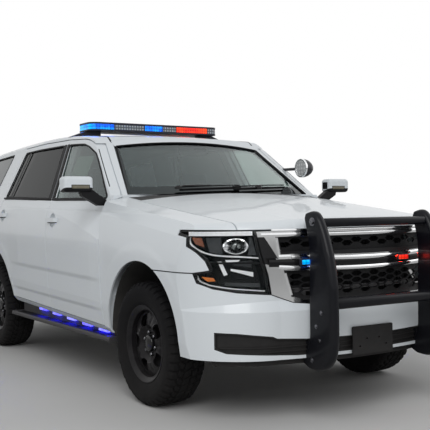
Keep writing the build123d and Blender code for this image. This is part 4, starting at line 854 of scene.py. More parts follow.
# %% Finishes on the frame's nodes
for part in record["subparts"]:
    cad, name = nodes[part["node"]], part["material_slot"]
    if name == "window_glass" and part["node"] != "fixed_glass":
        name = "dark_glass" if "rear" in part["node"] else "door_glass"
    if part["node"] == "grille":
        name = "grille"
    if not cad.material_slots:
        cad.data.materials.append(finishes[name])
    for place_on in cad.material_slots:
        place_on.link = "OBJECT"
        place_on.material = finishes[name]
print("every frame node has a finish:", all(n.material_slots for n in nodes.values()))

# %% [markdown]
# ## Tyres
# The tyres are chunky all-terrain ones: two zigzag grooves each side of the middle, blocks cut across
# by slots, and lugs that run over the shoulder. A grid runs round the wheel one way and over the
# section the other way, and the depth of the grooves is a formula of both, taken off the radius.

# %% Steps and repeats


def soft_step(value, low, high):
    """0 below low, 1 above high, and 3t^2 - 2t^3 between, with t the share of the way."""
    t = np.clip((value - low) / (high - low), 0, 1)
    return t * t * (3 - 2 * t)


def near(phase, middle_at, half):
    """1 where a repeating phase is within half of a place, soft at its sides."""
    away = np.abs((phase - middle_at + 0.5) % 1.0 - 0.5)
    return 1 - soft_step(away, half * 0.65, half)


print("half way up a soft step:", soft_step(0.5, 0.0, 1.0))

# %% Section of the tyre
HALF, BEAD = 129.0, 217.6
ACROSS = 49


def tyre_section(radius):
    """Rows (s, r) from bead over side wall, shoulder and tread to the other bead, and back inside.
    The tread falls from the radius by 5.5 mm times the 3.2th power of its share of the half width."""
    side = curve([(90, BEAD), (101, 240), (118, 268), (HALF, 314), (HALF - 1, 340), (HALF - 7, 362),
                  (HALF - 17, radius - 13)], 20)
    lateral = np.linspace(HALF - 25, -(HALF - 25), ACROSS)
    tread = np.stack([lateral, radius - 5.5 * (np.abs(lateral) / 104) ** 3.2], -1)
    inner = np.array([(-84, BEAD + 18), (-104, 300), (-98, radius - 26), (0, radius - 22),
                      (98, radius - 26), (104, 300), (84, BEAD + 18)])
    return np.vstack([side, tread, (side * (-1, 1))[::-1], inner]), len(inner)


print("section of", len(tyre_section(tyre_radius)[0]), "points")

# %% Tyres with cut treads
PITCHES = 44
ROUND = 616
GROOVE = 9.5
TREAD_EDGE = 98


def tyre_shape(radius):
    """The section swept round the axle. Depth of the tread = groove * the largest of: zigzag ribs,
    slots between blocks and cuts between shoulder lugs. Lugs and mould rings push the side wall out."""
    section, inner_count = tyre_section(radius)
    turn = np.linspace(0, 2 * np.pi, ROUND, endpoint=False)[:, None]
    phase = turn * PITCHES / (2 * np.pi)
    s, r = section[None, :, 0], np.repeat(section[None, :, 1], ROUND, 0)
    zigzag = np.abs(2 * (phase % 1.0) - 1)
    hand = np.sign(s)
    ribs = [1 - soft_step(np.abs(np.abs(s) - (27 + 9 * (zigzag - 0.5))), 3.0, 5.5),
            1 - soft_step(np.abs(np.abs(s) - (66 - 9 * (zigzag - 0.5))), 3.4, 6.0)]
    slots = [near(phase + s / 90, 0.2, 0.10) * (np.abs(s) < 26),
             near(phase + hand * s / 110, 0.62, 0.13) * ((np.abs(s) > 28) & (np.abs(s) < 66)),
             near(phase + 0.25 * hand, 0.1, 0.19) * (np.abs(s) > 68)]
    depth = GROOVE * np.max(ribs + slots, axis=0)
    crown = soft_step(r, radius - 30, radius - 12)
    outside = np.arange(len(section)) < len(section) - inner_count
    wall = np.abs(s) > TREAD_EDGE
    lug = near(phase * 0.5 + 0.12 * hand, 0.4, 0.26) * soft_step(r, radius - 46, radius - 38) * wall
    cut = near(phase + 0.25 * hand, 0.1, 0.19) * soft_step(r, radius - 34, radius - 26) * wall
    rings = 1.6 * (np.exp(-((r - 262) / 2.5) ** 2) + np.exp(-((r - 335) / 3.0) ** 2)) * wall
    radial = r - np.where(outside, depth * crown, 0)
    lateral = s * np.ones_like(r) + np.where(outside, hand * (rings + 1.8 * lug - 4.5 * cut), 0)
    rows = np.stack([lateral, radial * np.cos(turn), radial * np.sin(turn)], -1)
    return grid(rows, around=True, ends="joined")


points, faces = tyre_shape(tyre_radius)
for wheel, _ in WHEELS:
    hub = middle(f"tyre_{wheel}")
    tyre = piece(f"tread_{wheel}", [((points + hub, faces), finishes["tyre_rubber"])],
                 f"wheel_{wheel}", crease=50)
    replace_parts(tyre, f"tyre_{wheel}")

# %% [markdown]
# ## Steel wheels
# The wheel is pressed from sheet: a turned barrel, and a crowned disc with five large openings. The
# disc between two openings is a grid whose width shrinks where the openings are wide, so that their
# rounded outline is a formula of the radius. Six nuts, turned with six sides, hold it.

# %% Steel wheels
OPENINGS, OPEN_FROM, OPEN_TO = 5, 112.0, 186.0
DISC = np.array([(36, 58), (56, 58), (62, 52), (88, 52), (104, 68), (122, 84), (150, 80), (186, 66),
                 (214, 57)])
BARREL = [(243, -108), (243, -101), (217, -92), (217, -68), (195, -46), (195, 24), (217, 48), (217, 92),
          (243, 101), (243, 108), (236, 108), (210, 88), (210, 52), (188, 26), (188, -48), (210, -70),
          (210, -88), (236, -108)]
HUB = [(36.2, -14), (160, -14), (160, 10), (64, 10), (64, 44), (88, 44), (104, 60),
       (OPEN_FROM + 1, 70), (OPEN_FROM + 1, 76), (104, 68), (88, 52), (62, 52), (56, 58), (36.2, 58)]
EDGE = [(OPEN_TO - 1, 66.5), (211, 57.5), (211, 51), (OPEN_TO - 1, 60)]


def disc_spoke(number, sign):
    """Disc between two openings. An opening's half angle is a taper times the square root of
    1 - |2*share - 1|^3.2, which rounds both its ends, and the disc keeps the rest of its fifth. A
    lip along each edge and a groove down the middle are bell curves of the distance across."""
    share = np.linspace(0, 1, 29)[:, None]
    radius = OPEN_FROM + (OPEN_TO - OPEN_FROM) * share
    opening = (0.35 - 0.09 * share) * np.sqrt(1 - np.abs(2 * share - 1) ** 3.2)
    half = np.pi / OPENINGS - opening
    across = np.linspace(-1, 1, 21)[None]
    angle = (number + 0.5) * 2 * np.pi / OPENINGS + half * across
    lip = 4.0 * np.exp(-((1 - np.abs(across)) * half * radius / 7) ** 2) * np.sin(np.pi * share)
    groove = 4.0 * np.exp(-(across * half * radius / 12) ** 2) * np.sin(np.pi * share)
    offset = np.interp(radius, DISC[:, 0], DISC[:, 1]) + lip - groove
    face = np.stack([sign * offset, radius * np.cos(angle), radius * np.sin(angle)], -1)
    return plate(face, (-6.0 * sign, 0, 0))


def outward(profile, sign, start=0.0):
    """Profile rows (radius, offset) with the offset counted from start, to the wheel's outer side."""
    return [(radius, sign * (start + offset)) for radius, offset in profile]


for wheel, sign in WHEELS:
    hub = middle(f"tyre_{wheel}")
    rings = [turned(outward(profile, sign), hub, steps=120, ring=True) for profile in (BARREL, HUB, EDGE)]
    spokes = [(points + hub, faces) for points, faces in (disc_spoke(n, sign) for n in range(OPENINGS))]
    steel = piece(f"steel_wheel_{wheel}", [(rings + spokes, finishes["wheel_steel"])],
                  f"wheel_{wheel}", crease=40)
    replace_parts(steel, f"rim_{wheel}")

# %% Wheel nuts, centre caps and valves
NUTS, NUT_CIRCLE, NUT_TURN = 6, 69.85, 0.3
RIM_FACE = 52.0
NUT = [(0, -2), (12.5, -2), (12.5, 14), (9.5, 19), (0, 20)]
CAP = [(53, 2), (53, 22), (50, 27), (40, 29), (38, 27), (20, 30), (0, 31), (0, 26), (48, 20), (49, 2)]

for wheel, sign in WHEELS:
    hub = middle(f"tyre_{wheel}")
    angles = np.linspace(0, 2 * np.pi, NUTS, endpoint=False) + NUT_TURN
    nuts = [turned(outward(NUT, sign, RIM_FACE), hub + (0, NUT_CIRCLE * np.cos(a), NUT_CIRCLE * np.sin(a)),
                   steps=6) for a in angles]
    cap = turned(outward(CAP, sign, RIM_FACE), hub, ring=True)
    valve_path = np.array([(sign * 70, 0, 196), (sign * 84, 0, 190), (sign * 100, 0, 186)])
    valve = tube(hub + valve_path, (5, 4.5, 4))
    piece(f"wheel_nuts_{wheel}", [(nuts, shiny_steel), (cap, gloss_black), (valve, soft_rubber)],
          f"wheel_{wheel}")

# %% [markdown]
# ## Light bar lenses
# Behind clear polycarbonate the bar holds rows of lamp modules. Two blocks of the near half are lit
# blue, one block of the far half is lit red, and the others are unlit but glow faintly, a painted
# glow, so each lens block gets the finish of the lamps behind it. The bar's ends are rounded in plan,
# and the front and back of a lens are fluted: a wave along its length, computed on the grid.

# %% Light bar lenses
BAR_CORNER, DEEPEST = 70.0, 62.0
FLUTE_DEEP, FLUTE_PITCH = 1.2, 12.0
LENS_GAP = 3.4
bar_low, bar_high = span("light_bar_lenses")
splits = [bar_low[0], -400, -120, 54, 183, 500, bar_high[0]]
lamp_order = [lit_blue, unlit_painted_glow, lit_blue, unlit_painted_glow, lit_red, unlit_painted_glow]


def end_rounding(from_end):
    """How far the bar's front draws back near an end: a quarter circle, r*(1 - sqrt(1 - t^2)), with
    t the share of the corner still to come."""
    share = np.clip(1 - from_end / BAR_CORNER, 0, 1)
    return BAR_CORNER * (1 - np.sqrt(np.clip(1 - share ** 2, 0, 1)))


def lens_block(x0, x1):
    """One lens: eight points round its section at each of 61 places between its two ends."""
    x = x0 + LENS_GAP + (x1 - x0 - 2 * LENS_GAP) * np.linspace(0, 1, 61)[:, None]
    rounding = np.minimum(end_rounding(x - bar_low[0]) + end_rounding(bar_high[0] - x), DEEPEST)
    flute = FLUTE_DEEP * np.abs(np.sin(x * np.pi / FLUTE_PITCH))
    heights = np.array([bar_low[2], bar_low[2] + 2, bar_high[2] - 2, bar_high[2]])
    front = bar_low[1] + 1 + rounding + flute
    back = bar_high[1] - 1 - rounding - flute
    ring_y = np.hstack([front + 3, front, front, front + 3, back - 3, back, back, back - 3])
    ring_z = np.r_[heights, heights[::-1]][None] * np.ones_like(x)
    return grid(np.stack([np.repeat(x, 8, 1), ring_y, ring_z], -1), around=True, ends="capped")


parts = [(lens_block(x0, x1), lamp) for x0, x1, lamp in zip(splits, splits[1:], lamp_order)]
lenses = piece("bar_lens_blocks", parts, "body", crease=28)
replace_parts(lenses, "light_bar_lenses")

# %% [markdown]
# ## Following the body's side
# Window seals, pillar panels, belt strips and the handle gaskets, which also paint the shadow under
# each handle, lie on the curved side. The side is a formula of length and height: it leans in above the
# belt line and swells below it, so a path drawn in side view is carried out to the skin, and its
# outward direction comes from the slopes.

# %% The side of the body
RAKE, SHIFT_FROM = 0.0335, 568.0
PEAK, ROOF_FRONT, ROOF_REAR = 2100.0, 6883.0, 27480.0
LEVELS = [400, 440, 600, 880, 1105, 1208, 1290, 1295]
HALVES = [955, 985, 1007, 1018, 1015, 1001, 964, 963]
LEAN = 0.42
BELT, BELT_HALF, TOP_HALF = 1295.0, 965.0, 988.0


def skin(y, z):
    """Half width of the body at a distance behind the front axle and a height. Above the belt it is
    a straight lean, held in by the roof's bow of length squared over twice a radius; below it, the
    listed half widths are joined by straight lines."""
    y, z = np.asarray(y, float), np.asarray(z, float)
    level = z - RAKE * (y - SHIFT_FROM)
    fall = (y - PEAK) ** 2 / (2 * np.where(y < PEAK, ROOF_FRONT, ROOF_REAR))
    upper = np.minimum(BELT_HALF - LEAN * (level - BELT), TOP_HALF - LEAN * (z + fall - BELT))
    return np.where(level > BELT - 5, upper, np.interp(level, LEVELS, HALVES))


def on_side(y, z, lift=0.0):
    """Points of the right side and their outward directions; lift moves them off the skin."""
    step = 2.0
    slope_y = (skin(y + step, z) - skin(y - step, z)) / (2 * step)
    slope_z = (skin(y, z + step) - skin(y, z - step)) / (2 * step)
    out = np.stack([-np.ones_like(slope_y), -slope_y, -slope_z], -1)
    out /= np.linalg.norm(out, axis=-1, keepdims=True)
    place = np.stack([-skin(y, z), np.asarray(y, float) + front_axle, np.asarray(z, float)], -1)
    return place + lift * out, out


print("half width at the belt over the front axle:", float(skin(0, 1280)))

# %% [markdown]
# ## Window seals
# A rubber seal lies over the edge between each pane and its frame. Its outline is a few corners in
# side view, rounded and then spaced evenly, and a low moulding is carried along it.

# %% Rounded outlines


def loop(corners, radius=16.0, step=14.0):
    """A closed outline in which each corner p becomes (1-t)^2 start + 2t(1-t) p + t^2 stop, with
    start and stop on its two sides; its places are then spaced evenly along it."""
    p = np.asarray(corners, float)

    def along(side):
        """The point a radius along a side from its corner, or just under half way."""
        length = np.linalg.norm(side, axis=1, keepdims=True)
        return p + side / length * np.minimum(radius, 0.45 * length)

    start, stop = along(np.roll(p, 1, 0) - p), along(np.roll(p, -1, 0) - p)
    t = np.linspace(0, 1, 6)[None, :, None]
    bent = (1 - t) ** 2 * start[:, None] + 2 * t * (1 - t) * p[:, None] + t ** 2 * stop[:, None]
    bent = bent.reshape(-1, 2)
    bent = np.vstack([bent, bent[:1]])
    travelled = np.r_[0, np.cumsum(np.linalg.norm(np.diff(bent, axis=0), axis=1))]
    even = np.linspace(0, travelled[-1], int(travelled[-1] / step), endpoint=False)
    return np.stack([np.interp(even, travelled, bent[:, i]) for i in (0, 1)], -1)


print("a square of 200 mm sides has", len(loop([(0, 0), (0, 200), (200, 200), (200, 0)])), "places")

# %% Window seals
wheelbase = rear_axle - front_axle
SEAL_WIDTH, SEAL_PROUD = 13.0, 2.4
FRONT_WINDOW = [(668, 1313), (654, 1324), (900, 1532), (1060, 1655), (1215, 1716), (1330, 1746),
                (1480, 1756), (1620, 1762), (1518, 1330)]
REAR_WINDOW = [(1628, 1333), (1730, 1764), (2300, 1768), (2624, 1764), (2724, 1372)]
QUARTER_WINDOW = [(wheelbase + 145, 1380), (wheelbase + 20, 1768), (wheelbase + 560, 1752),
                  (wheelbase + 800, 1725), (wheelbase + 905, 1420)]


def seal(corners):
    """Rubber seal lying over the edge between a pane and its frame."""
    path = loop(corners)
    place, out = on_side(path[:, 0], path[:, 1])
    return moulding(place, out, SEAL_WIDTH, SEAL_PROUD, sunk=4.0, closed=True)


def hand(shape, sign):
    """A shape made for the right side (sign -1), or its mirror image for the left."""
    return shape if sign < 0 else other_side(shape)


for side, sign in SIDES:
    for name, outline, body in (("front", FRONT_WINDOW, f"door_front_{side}"),
                                ("rear", REAR_WINDOW, f"door_rear_{side}"),
                                ("quarter", QUARTER_WINDOW, "body")):
        piece(f"window_seal_{name}_{side}", [(hand(seal(outline), sign), soft_rubber)], body)

# %% [markdown]
# ## Dark pillar panels
# Between the side windows the doors are covered by dark panels, so that the row of windows reads as
# one band. Each is a thin sheet just off the door: a grid between two slanting edges, one along the
# window and one along the gap between the doors. A dark strip runs along the windows' foot, and under
# each door handle lies a black rubber gasket that is also a painted shadow line beneath the grip.

# %% Pillar panels, divider bars and belt strips
PILLAR_FOOT, PILLAR_TOP = 1322.0, 1770.0
PANEL_THICK = 1.3


def between(low_pair, high_pair, foot, top, lift):
    """A sheet on the side between two slanted edges; each pair is an edge's place at foot and top,
    and every place is a share u of the way from one edge to the other and a share v of the height."""
    v = np.linspace(0, 1, 40)[:, None]
    u = np.linspace(0, 1, 9)[None]
    near_edge = low_pair[0] + (low_pair[1] - low_pair[0]) * v
    far_edge = high_pair[0] + (high_pair[1] - high_pair[0]) * v
    y = near_edge + (far_edge - near_edge) * u
    z = foot + (top - foot) * v + 0 * u
    face, out = on_side(y, z, lift)
    return plate(face, PANEL_THICK * out)


def belt(y0, y1, z0, z1):
    """A dark strip along the foot of the windows, straight in side view."""
    y = np.linspace(y0, y1, 60)
    place, out = on_side(y, z0 + (z1 - z0) * (y - y0) / (y1 - y0))
    return moulding(place, out, 16.0, 4.0, sunk=1.0)


satin_black = finish("satin_black", (0.005, 0.005, 0.006), rough=0.45, grained=(700, 0.0001), specular=0.08)
front_parts = [(between((1528, 1624), (1557, 1661), PILLAR_FOOT, PILLAR_TOP, 0.4), satin_black),
               (belt(664, 1556, 1306, 1322), soft_rubber)]
rear_parts = [(between((1575, 1678), (1622, 1724), PILLAR_FOOT, PILLAR_TOP, 0.4), satin_black),
              (between((2560, 2476), (2590, 2506), 1364, PILLAR_TOP - 6, 0.6), satin_black),
              (belt(1574, 2740, 1322, 1360), soft_rubber)]
for side, sign in SIDES:
    for name, parts in (("front", front_parts), ("rear", rear_parts)):
        kept = [(hand(shape, sign), use) for shape, use in parts]
        piece(f"pillar_panel_{name}_{side}", kept, f"door_{name}_{side}")

# %% Handle gaskets with painted shadow, and the belt of the quarter panes
GASKET_SHADOW_LONG, GASKET_SHADOW_BOW = 186.0, 3.0

# Each gasket is a black strip under a handle: partly a real gasket, partly painted shadow beneath the grip.
for end, start, height in (("front", 1352.0, 1148.0), ("rear", wheelbase - 386.0, 1194.0)):
    run = np.linspace(start, start + GASKET_SHADOW_LONG, 40)
    from_middle = (run - start - GASKET_SHADOW_LONG / 2) / (GASKET_SHADOW_LONG / 2)
    under, out = on_side(run, height - 5 + GASKET_SHADOW_BOW * from_middle ** 2)
    seat = moulding(under, out, 8.0, 2.0, sunk=2.0)
    for side, sign in SIDES:
        piece(f"handle_gasket_{end}_{side}", [(hand(seat, sign), soft_rubber)], f"door_{end}_{side}")
quarter_belt = belt(wheelbase + 150, wheelbase + 905, 1370, 1408)
piece("quarter_belt", [(pair(quarter_belt), soft_rubber)], "body")

# %% [markdown]
# ## Roof mouldings and gutter strips
# Two black strips run along the roof just inside its edges and hide the joint of the roof and the
# side panels. They follow the roof, so their heights are measured on the frame by rays from above.

# %% Roof strips
DITCH_HALF = 655.0
OVER_ROOF, UNDER_ROOF = 2300.0, 1500.0
stations = np.linspace(760, 3700, 50)


def from_above(node, x, y):
    """Where a ray from above meets a CAD node; None if it meets nothing as high as the roof."""
    hit = first_hit(node, (x, y, OVER_ROOF), (0, 0, -1))
    return None if hit is None or hit[2] < UNDER_ROOF else hit


ditch = [from_above("body_shell", -DITCH_HALF, y + front_axle) for y in stations]
ditch = np.array([p for p in ditch if p is not None])
strip = moulding(ditch, (-0.25, 0, 0.97), 14.0, 3.0, sunk=3.0)
piece("roof_strips", [(pair(strip), soft_rubber)], "body")

# %% [markdown]
# ## Windscreen surround and wipers
# The roof's painted edge comes down over the top of the windscreen, and a thin black rubber moulding
# frames what is left. Each wiper is a rubber blade under a slim spine, held by an arm from a pivot in
# the black panel at the windscreen's foot; the arm is a tapering tube along a shallow curve, so that
# it clears the glass.

# %% Roof edge over the windscreen
SCREEN_BASE, SCREEN_FOOT = 440.0, 1347.0
SCREEN_RUN, SCREEN_RISE, SCREEN_RADIUS = 640.0, 452.0, 2118.0
GLASS_TOP, ROOF_EDGE = 1755.0, 1800.0
TOP_HALF_WIDTH, TOP_SAG = 640.0, 40.0


def screen_y(x, z):
    """Distance of the windscreen behind the front axle: it rises by run over rise, and in plan it is
    an arc, radius less the square root of radius squared less x squared."""
    return SCREEN_BASE + (z - SCREEN_FOOT) * SCREEN_RUN / SCREEN_RISE + SCREEN_RADIUS - np.sqrt(
        SCREEN_RADIUS ** 2 - np.asarray(x, float) ** 2)


def on_screen(x, z, lift=0.0):
    """Points on the windscreen, lifted along its outward direction, and that direction."""
    x, z = np.asarray(x, float), np.asarray(z, float)
    out = np.stack([x / SCREEN_RADIUS, -np.ones_like(x), np.full_like(x, SCREEN_RUN / SCREEN_RISE)], -1)
    out /= np.linalg.norm(out, axis=-1, keepdims=True)
    return np.stack([x, screen_y(x, z) + front_axle, z], -1) + lift * out, out


header_x, share = np.linspace(-655, 655, 60)[None], np.linspace(0, 1, 6)[:, None]
header_z = GLASS_TOP + (ROOF_EDGE - GLASS_TOP) * share - TOP_SAG * (header_x / TOP_HALF_WIDTH) ** 2
header_face, out = on_screen(header_x + 0 * share, header_z, 3.0)
piece("roof_header", [(plate(header_face, -2.0 * out), finishes["body_paint"])], "body")

# %% Wiper arms
WIPERS = [((-418, 1362), (92, 1378), (-432, 1360)), ((20, 1366), (560, 1384), (244, 1364))]
PIVOT = [(0, -12), (25, -12), (25, 4), (18, 13), (0, 15)]
along = np.linspace(0, 1, 30)
wiper_parts = []
for (x0, z0), (x1, z1), (px, pz) in WIPERS:
    blade_x, blade_z = x0 + (x1 - x0) * along, z0 + (z1 - z0) * along
    spine, _ = on_screen(blade_x, blade_z + 11, 17)
    spine[:, 2] += 3 * np.sin(np.pi * along)
    pivot, _ = on_screen([px], [pz], 30)
    hold, _ = on_screen([(x0 + x1) / 2], [(z0 + z1) / 2 + 12], 22)
    arm = curve([pivot[0], pivot[0] * 0.75 + hold[0] * 0.25 + (0, -6, 8), hold[0]], 24)
    blade, out = on_screen(blade_x, blade_z, 2.0)
    wiper_parts += [(moulding(blade, out, 9.0, 14.0, sunk=1.0), soft_rubber),
                    (tube(spine, 4.5), soft_rubber), (tube(arm, np.linspace(9, 5.5, 24)), gloss_black),
                    (turned(PIVOT, pivot[0], axis=2), gloss_black)]
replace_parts(piece("wiper_arms", wiper_parts, "body"), "wipers")

# %% Windscreen moulding
up_side = np.linspace(0, 1, 30)
side_x, side_z = 786 - 146 * up_side, 1339 + (GLASS_TOP - TOP_SAG - 1339) * up_side
top_x = np.linspace(TOP_HALF_WIDTH, -TOP_HALF_WIDTH, 40)[1:-1]
top_z = GLASS_TOP - TOP_SAG * (top_x / TOP_HALF_WIDTH) ** 2
frame_x = np.r_[side_x, top_x, -side_x[::-1]]
frame_z = np.r_[side_z, top_z, side_z[::-1]]
place, out = on_screen(frame_x, frame_z, 1.0)
surround = moulding(place, out, 7.0, 4.0, sunk=6.0)
piece("windscreen_surround", [(surround, soft_rubber)], "body")

# %% [markdown]
# ## Headlamp insides
# Behind each clear lens sits a black bucket with two tiers. The upper one holds an oval projector in
# a fluted bright shroud, the lower one bright blades over a smoked trough, and thin silver rims
# outline both; amber markers close the outer end, and a black bezel runs round the whole. The lens
# sweeps round the corner of the nose, so its plan is measured with rays and the parts are set back
# from it by their own depths.

# %% Plan of the headlamp lens
LENS_LOW_FROM, LENS_FRONT = -720.0, 380.0
RAY_START = 1400.0
lens_x = np.linspace(-995.5, -652, 90)
lens_hits = [first_hit("headlamp_lenses", (x, front_axle - RAY_START, 1060 if x < LENS_LOW_FROM else 900),
                       (0, 1, 0)) for x in lens_x]
found = np.array([hit is not None and hit[1] < front_axle - LENS_FRONT for hit in lens_hits])
lens_x = lens_x[found]
lens_y = np.array([hit[1] for hit, good in zip(lens_hits, found) if good])
lens_turn = np.gradient(lens_y, lens_x)
print("lens plan from", len(lens_x), "rays")

# %% Sheets, rings and rims behind the lens


def in_lamp(x, z, inset):
    """Points an inset behind the right lens, along the direction out through it, and that way out:
    the plan's slope in x and minus one in y, made a unit."""
    x, z = np.broadcast_arrays(np.asarray(x, float), np.asarray(z, float))
    out = np.stack([np.interp(x, lens_x, lens_turn), -np.ones_like(x), np.zeros_like(x)], -1)
    out /= np.linalg.norm(out, axis=-1, keepdims=True)
    depth = np.asarray(inset, float)[..., None]
    return np.stack([x, np.interp(x, lens_x, lens_y), z], -1) - depth * out, out


def lamp_patch(corners, inset, thick=2.5, steps=(15, 15)):
    """A sheet behind the lens between four corners (x, z): a share u along two opposite sides and a
    share v between them."""
    corner = np.asarray(corners, float)
    u = np.linspace(0, 1, steps[0])[None, :, None]
    v = np.linspace(0, 1, steps[1])[:, None, None]
    low, high = corner[0] * (1 - u) + corner[1] * u, corner[3] * (1 - u) + corner[2] * u
    place = low * (1 - v) + high * v
    face, out = in_lamp(place[..., 0], place[..., 1], inset)
    return plate(face, -thick * out)


def lamp_ring(centre, profile, facets=0.0):
    """Oval ring behind the lens: each profile row is half width times cosine, half height times sine
    and a depth, and |sine of four turns| times facets makes eight flutes round it."""
    rows = np.asarray(profile, float)[:, :, None]
    turn = np.linspace(0, 2 * np.pi, 96, endpoint=False)[None]
    x = centre[0] + rows[:, 0] * np.cos(turn)
    z = centre[1] + rows[:, 1] * np.sin(turn)
    return grid(in_lamp(x, z, rows[:, 2] + facets * np.abs(np.sin(4 * turn)))[0], around=True)


def lamp_line(points, inset, width, proud):
    """A bright rim on a smooth line through points (x, z)."""
    line = curve(points, 60)
    place, out = in_lamp(line[:, 0], line[:, 1], inset)
    return moulding(place, out, width, proud, sunk=6.0)


print("lens is", round(float(np.ptp(lens_x))), "mm wide")

# %% Projector, shroud and brow
EYE = (-818.0, 1013.0)
SHROUD = [(61, 46, 20), (59, 44, 10), (52, 39, 9), (46, 35, 16), (36, 31, 30), (30, 29, 34), (30, 29, 44),
          (61, 46, 30), (61, 46, 20)]
shroud = lamp_ring(EYE, SHROUD, facets=5.0)
eye_rim = lamp_ring(EYE, [(30, 29, 34), (27, 26, 27), (24, 23, 27), (23, 22, 36)])
eye = lamp_ring(EYE, [(24, 23, 36), (21, 20, 29), (15, 14, 24), (7, 7, 21.5), (0.1, 0.1, 21)])
brow = lamp_patch([(-992, 1072), (-738, 1072), (-738, 1096), (-992, 1096)], 4, thick=3.0, steps=(85, 9))
eye_glass = finish("projector_eye", (0.20, 0.22, 0.22), rough=0.05, metal=0.5, coat=1.0,
                   grained=(30, 0.00001))
print("projector at", EYE)

# %% Bezels and rims
BEZEL = [(-991, 1068), (-993, 1030), (-990, 1015), (-967, 986), (-936, 938), (-919, 880)]
BEZEL_LOW = [(-974, 861), (-965, 812), (-940, 794), (-914, 784), (-815, 763), (-665, 748)]
RIM_HIGH = [(-990, 1066), (-990, 1040), (-983, 1016), (-960, 988), (-922, 968), (-867, 959),
            (-794, 954), (-706, 946)]
RIM_LOW = [(-972, 850), (-962, 820), (-941, 804), (-918, 794), (-834, 778), (-674, 762)]
bezels = [lamp_line(BEZEL, 3, 13, 1.5), lamp_line(BEZEL_LOW, 3, 11, 1.5),
          lamp_line([(-919, 880), (-930, 872), (-974, 861)], 3, 10, 1.5),
          lamp_line([(-728, 1070), (-705, 963), (-672, 851), (-657, 754)], 3, 13, 1.5)]
rims = [lamp_line(RIM_HIGH, 9, 9, 4), lamp_line(RIM_LOW, 9, 7, 4)]
print(len(bezels), "bezels and", len(rims), "rims")

# %% Blades, smoked patches and markers
blades = [lamp_patch([(-899, 928), (-884, 930), (-858, 856), (-874, 850)], 14),
          lamp_patch([(-844, 889), (-734, 868), (-734, 842), (-844, 877)], 16),
          lamp_patch([(-868, 938), (-800, 938), (-806, 929), (-862, 924)], 15)]
smoked = [lamp_patch([(-943, 1060), (-884, 1062), (-880, 968), (-930, 978)], 20),
          lamp_patch([(-752, 1062), (-716, 1058), (-700, 962), (-757, 962)], 24),
          lamp_patch([(-838, 926), (-742, 934), (-742, 893), (-836, 908)], 20),
          lamp_patch([(-870, 812), (-700, 806), (-696, 784), (-872, 794)], 14)]
amber_high = lamp_patch([(-987, 1064), (-956, 1060), (-947, 1008), (-976, 1026)], 14)
amber_low = lamp_patch([(-958, 843), (-916, 838), (-908, 820), (-938, 817)], 12)
piece("headlamp_insides", [(pair(shroud), reflector), (pair(eye_rim), gloss_black), (pair(eye), eye_glass),
                           (pair(brow), silver), (pairs(bezels), gloss_black), (pairs(rims), silver),
                           (pairs(blades), silver), (pairs(smoked), smoke),
                           (pair(amber_high), smoked_amber), (pair(amber_low), amber_lens)],
      "body")

# %% [markdown]
# ## Strips on the grille
# Two bright strips cross the grille above and below a black channel, and two more close it under the
# hood. Short bright edges stand at its outer ends. Each is a low crowned moulding, and the long ones
# follow a gentle bow, laid on the face that rays find.

# %% Plan of the grille
RAY_HEIGHT, WING_HEIGHT, WING_FROM = 962.0, 1070.0, 660.0
grille_x = np.linspace(-705, 705, 95)
grille_hits = [first_hit("grille", (x, front_axle - RAY_START, RAY_HEIGHT if abs(x) < WING_FROM
                                    else WING_HEIGHT), (0, 1, 0)) for x in grille_x]
grille_kept = np.array([hit is not None for hit in grille_hits])
grille_x = grille_x[grille_kept]
grille_y = np.array([hit[1] for hit in grille_hits if hit is not None])
grille_turn = np.gradient(grille_y, grille_x)
print("grille plan from", len(grille_x), "rays")

# %% Grille strips and edges
BOW_HALF = 520.0


def on_grille(x, z):
    """Points on the face of the grille and the direction out of it: slope in x, minus one in y."""
    x, z = np.broadcast_arrays(np.asarray(x, float), np.asarray(z, float))
    slope = np.interp(x, grille_x, grille_turn)
    out = np.stack([slope, -np.ones_like(x), np.zeros_like(x)], -1)
    out /= np.linalg.norm(out, axis=-1, keepdims=True)
    return np.stack([x, np.interp(x, grille_x, grille_y), z], -1), out


def strip_across(half, z, bow, width, proud, sunk):
    """A strip over both sides: its height is z plus the bow times the square of x over BOW_HALF."""
    x = np.linspace(-half, half, 80)
    place, out = on_grille(x, z + bow * (x / BOW_HALF) ** 2)
    return moulding(place, out, width, proud, sunk)


def edge_between(start, stop, width):
    """A short straight edge on the grille, and its mirror image."""
    line = np.linspace(start, stop, 20)
    place, out = on_grille(line[:, 0], line[:, 1])
    return pair(moulding(place, out, width, 3.5, 2.0))


strips = [strip_across(520, 931, 16, 23, 5, 13), strip_across(596, 872, 15, 22, 5, 3),
          strip_across(700, 1073, 0, 22, 4, 3), strip_across(640, 1096, 0, 18, 2, 3)]
edges = edge_between((-608, 1058), (-592, 962), 13) + edge_between((-558, 858), (-522, 734), 12)
edges += edge_between((-598, 949), (-526, 949), 22)
channel = strip_across(655, 907, 5, 40, 1.5, 13)
piece("grille_strips", [(strips + edges, chrome), (channel, gloss_black)], "body")

# %% [markdown]
# ## Warning lamps on the grille
# Three small lamp heads stand on the black channel of the grille: one blue on the near side and two
# red on the far side. Each is a rounded black housing with a lens of bright chips proud of its face.

# %% Grille lamp heads
LAMP_HEIGHT, BAR_HEIGHT = 916.0, 955.0


def grille_lamp(x, z, lamp):
    """A lamp head on the grille's face: housing and lens, both rounded blocks."""
    face = first_hit("grille", (x, front_axle - RAY_START, BAR_HEIGHT), (0, 1, 0))[1]
    housing = block((x - 44, face - 13, z - 19), (x + 44, face + 12, z + 19), 6, axis=0)
    lens = block((x - 37, face - 19, z - 12.5), (x + 37, face - 9, z + 12.5), 4, axis=0)
    return [(housing, finishes["bar_housing"]), (lens, lamp)]


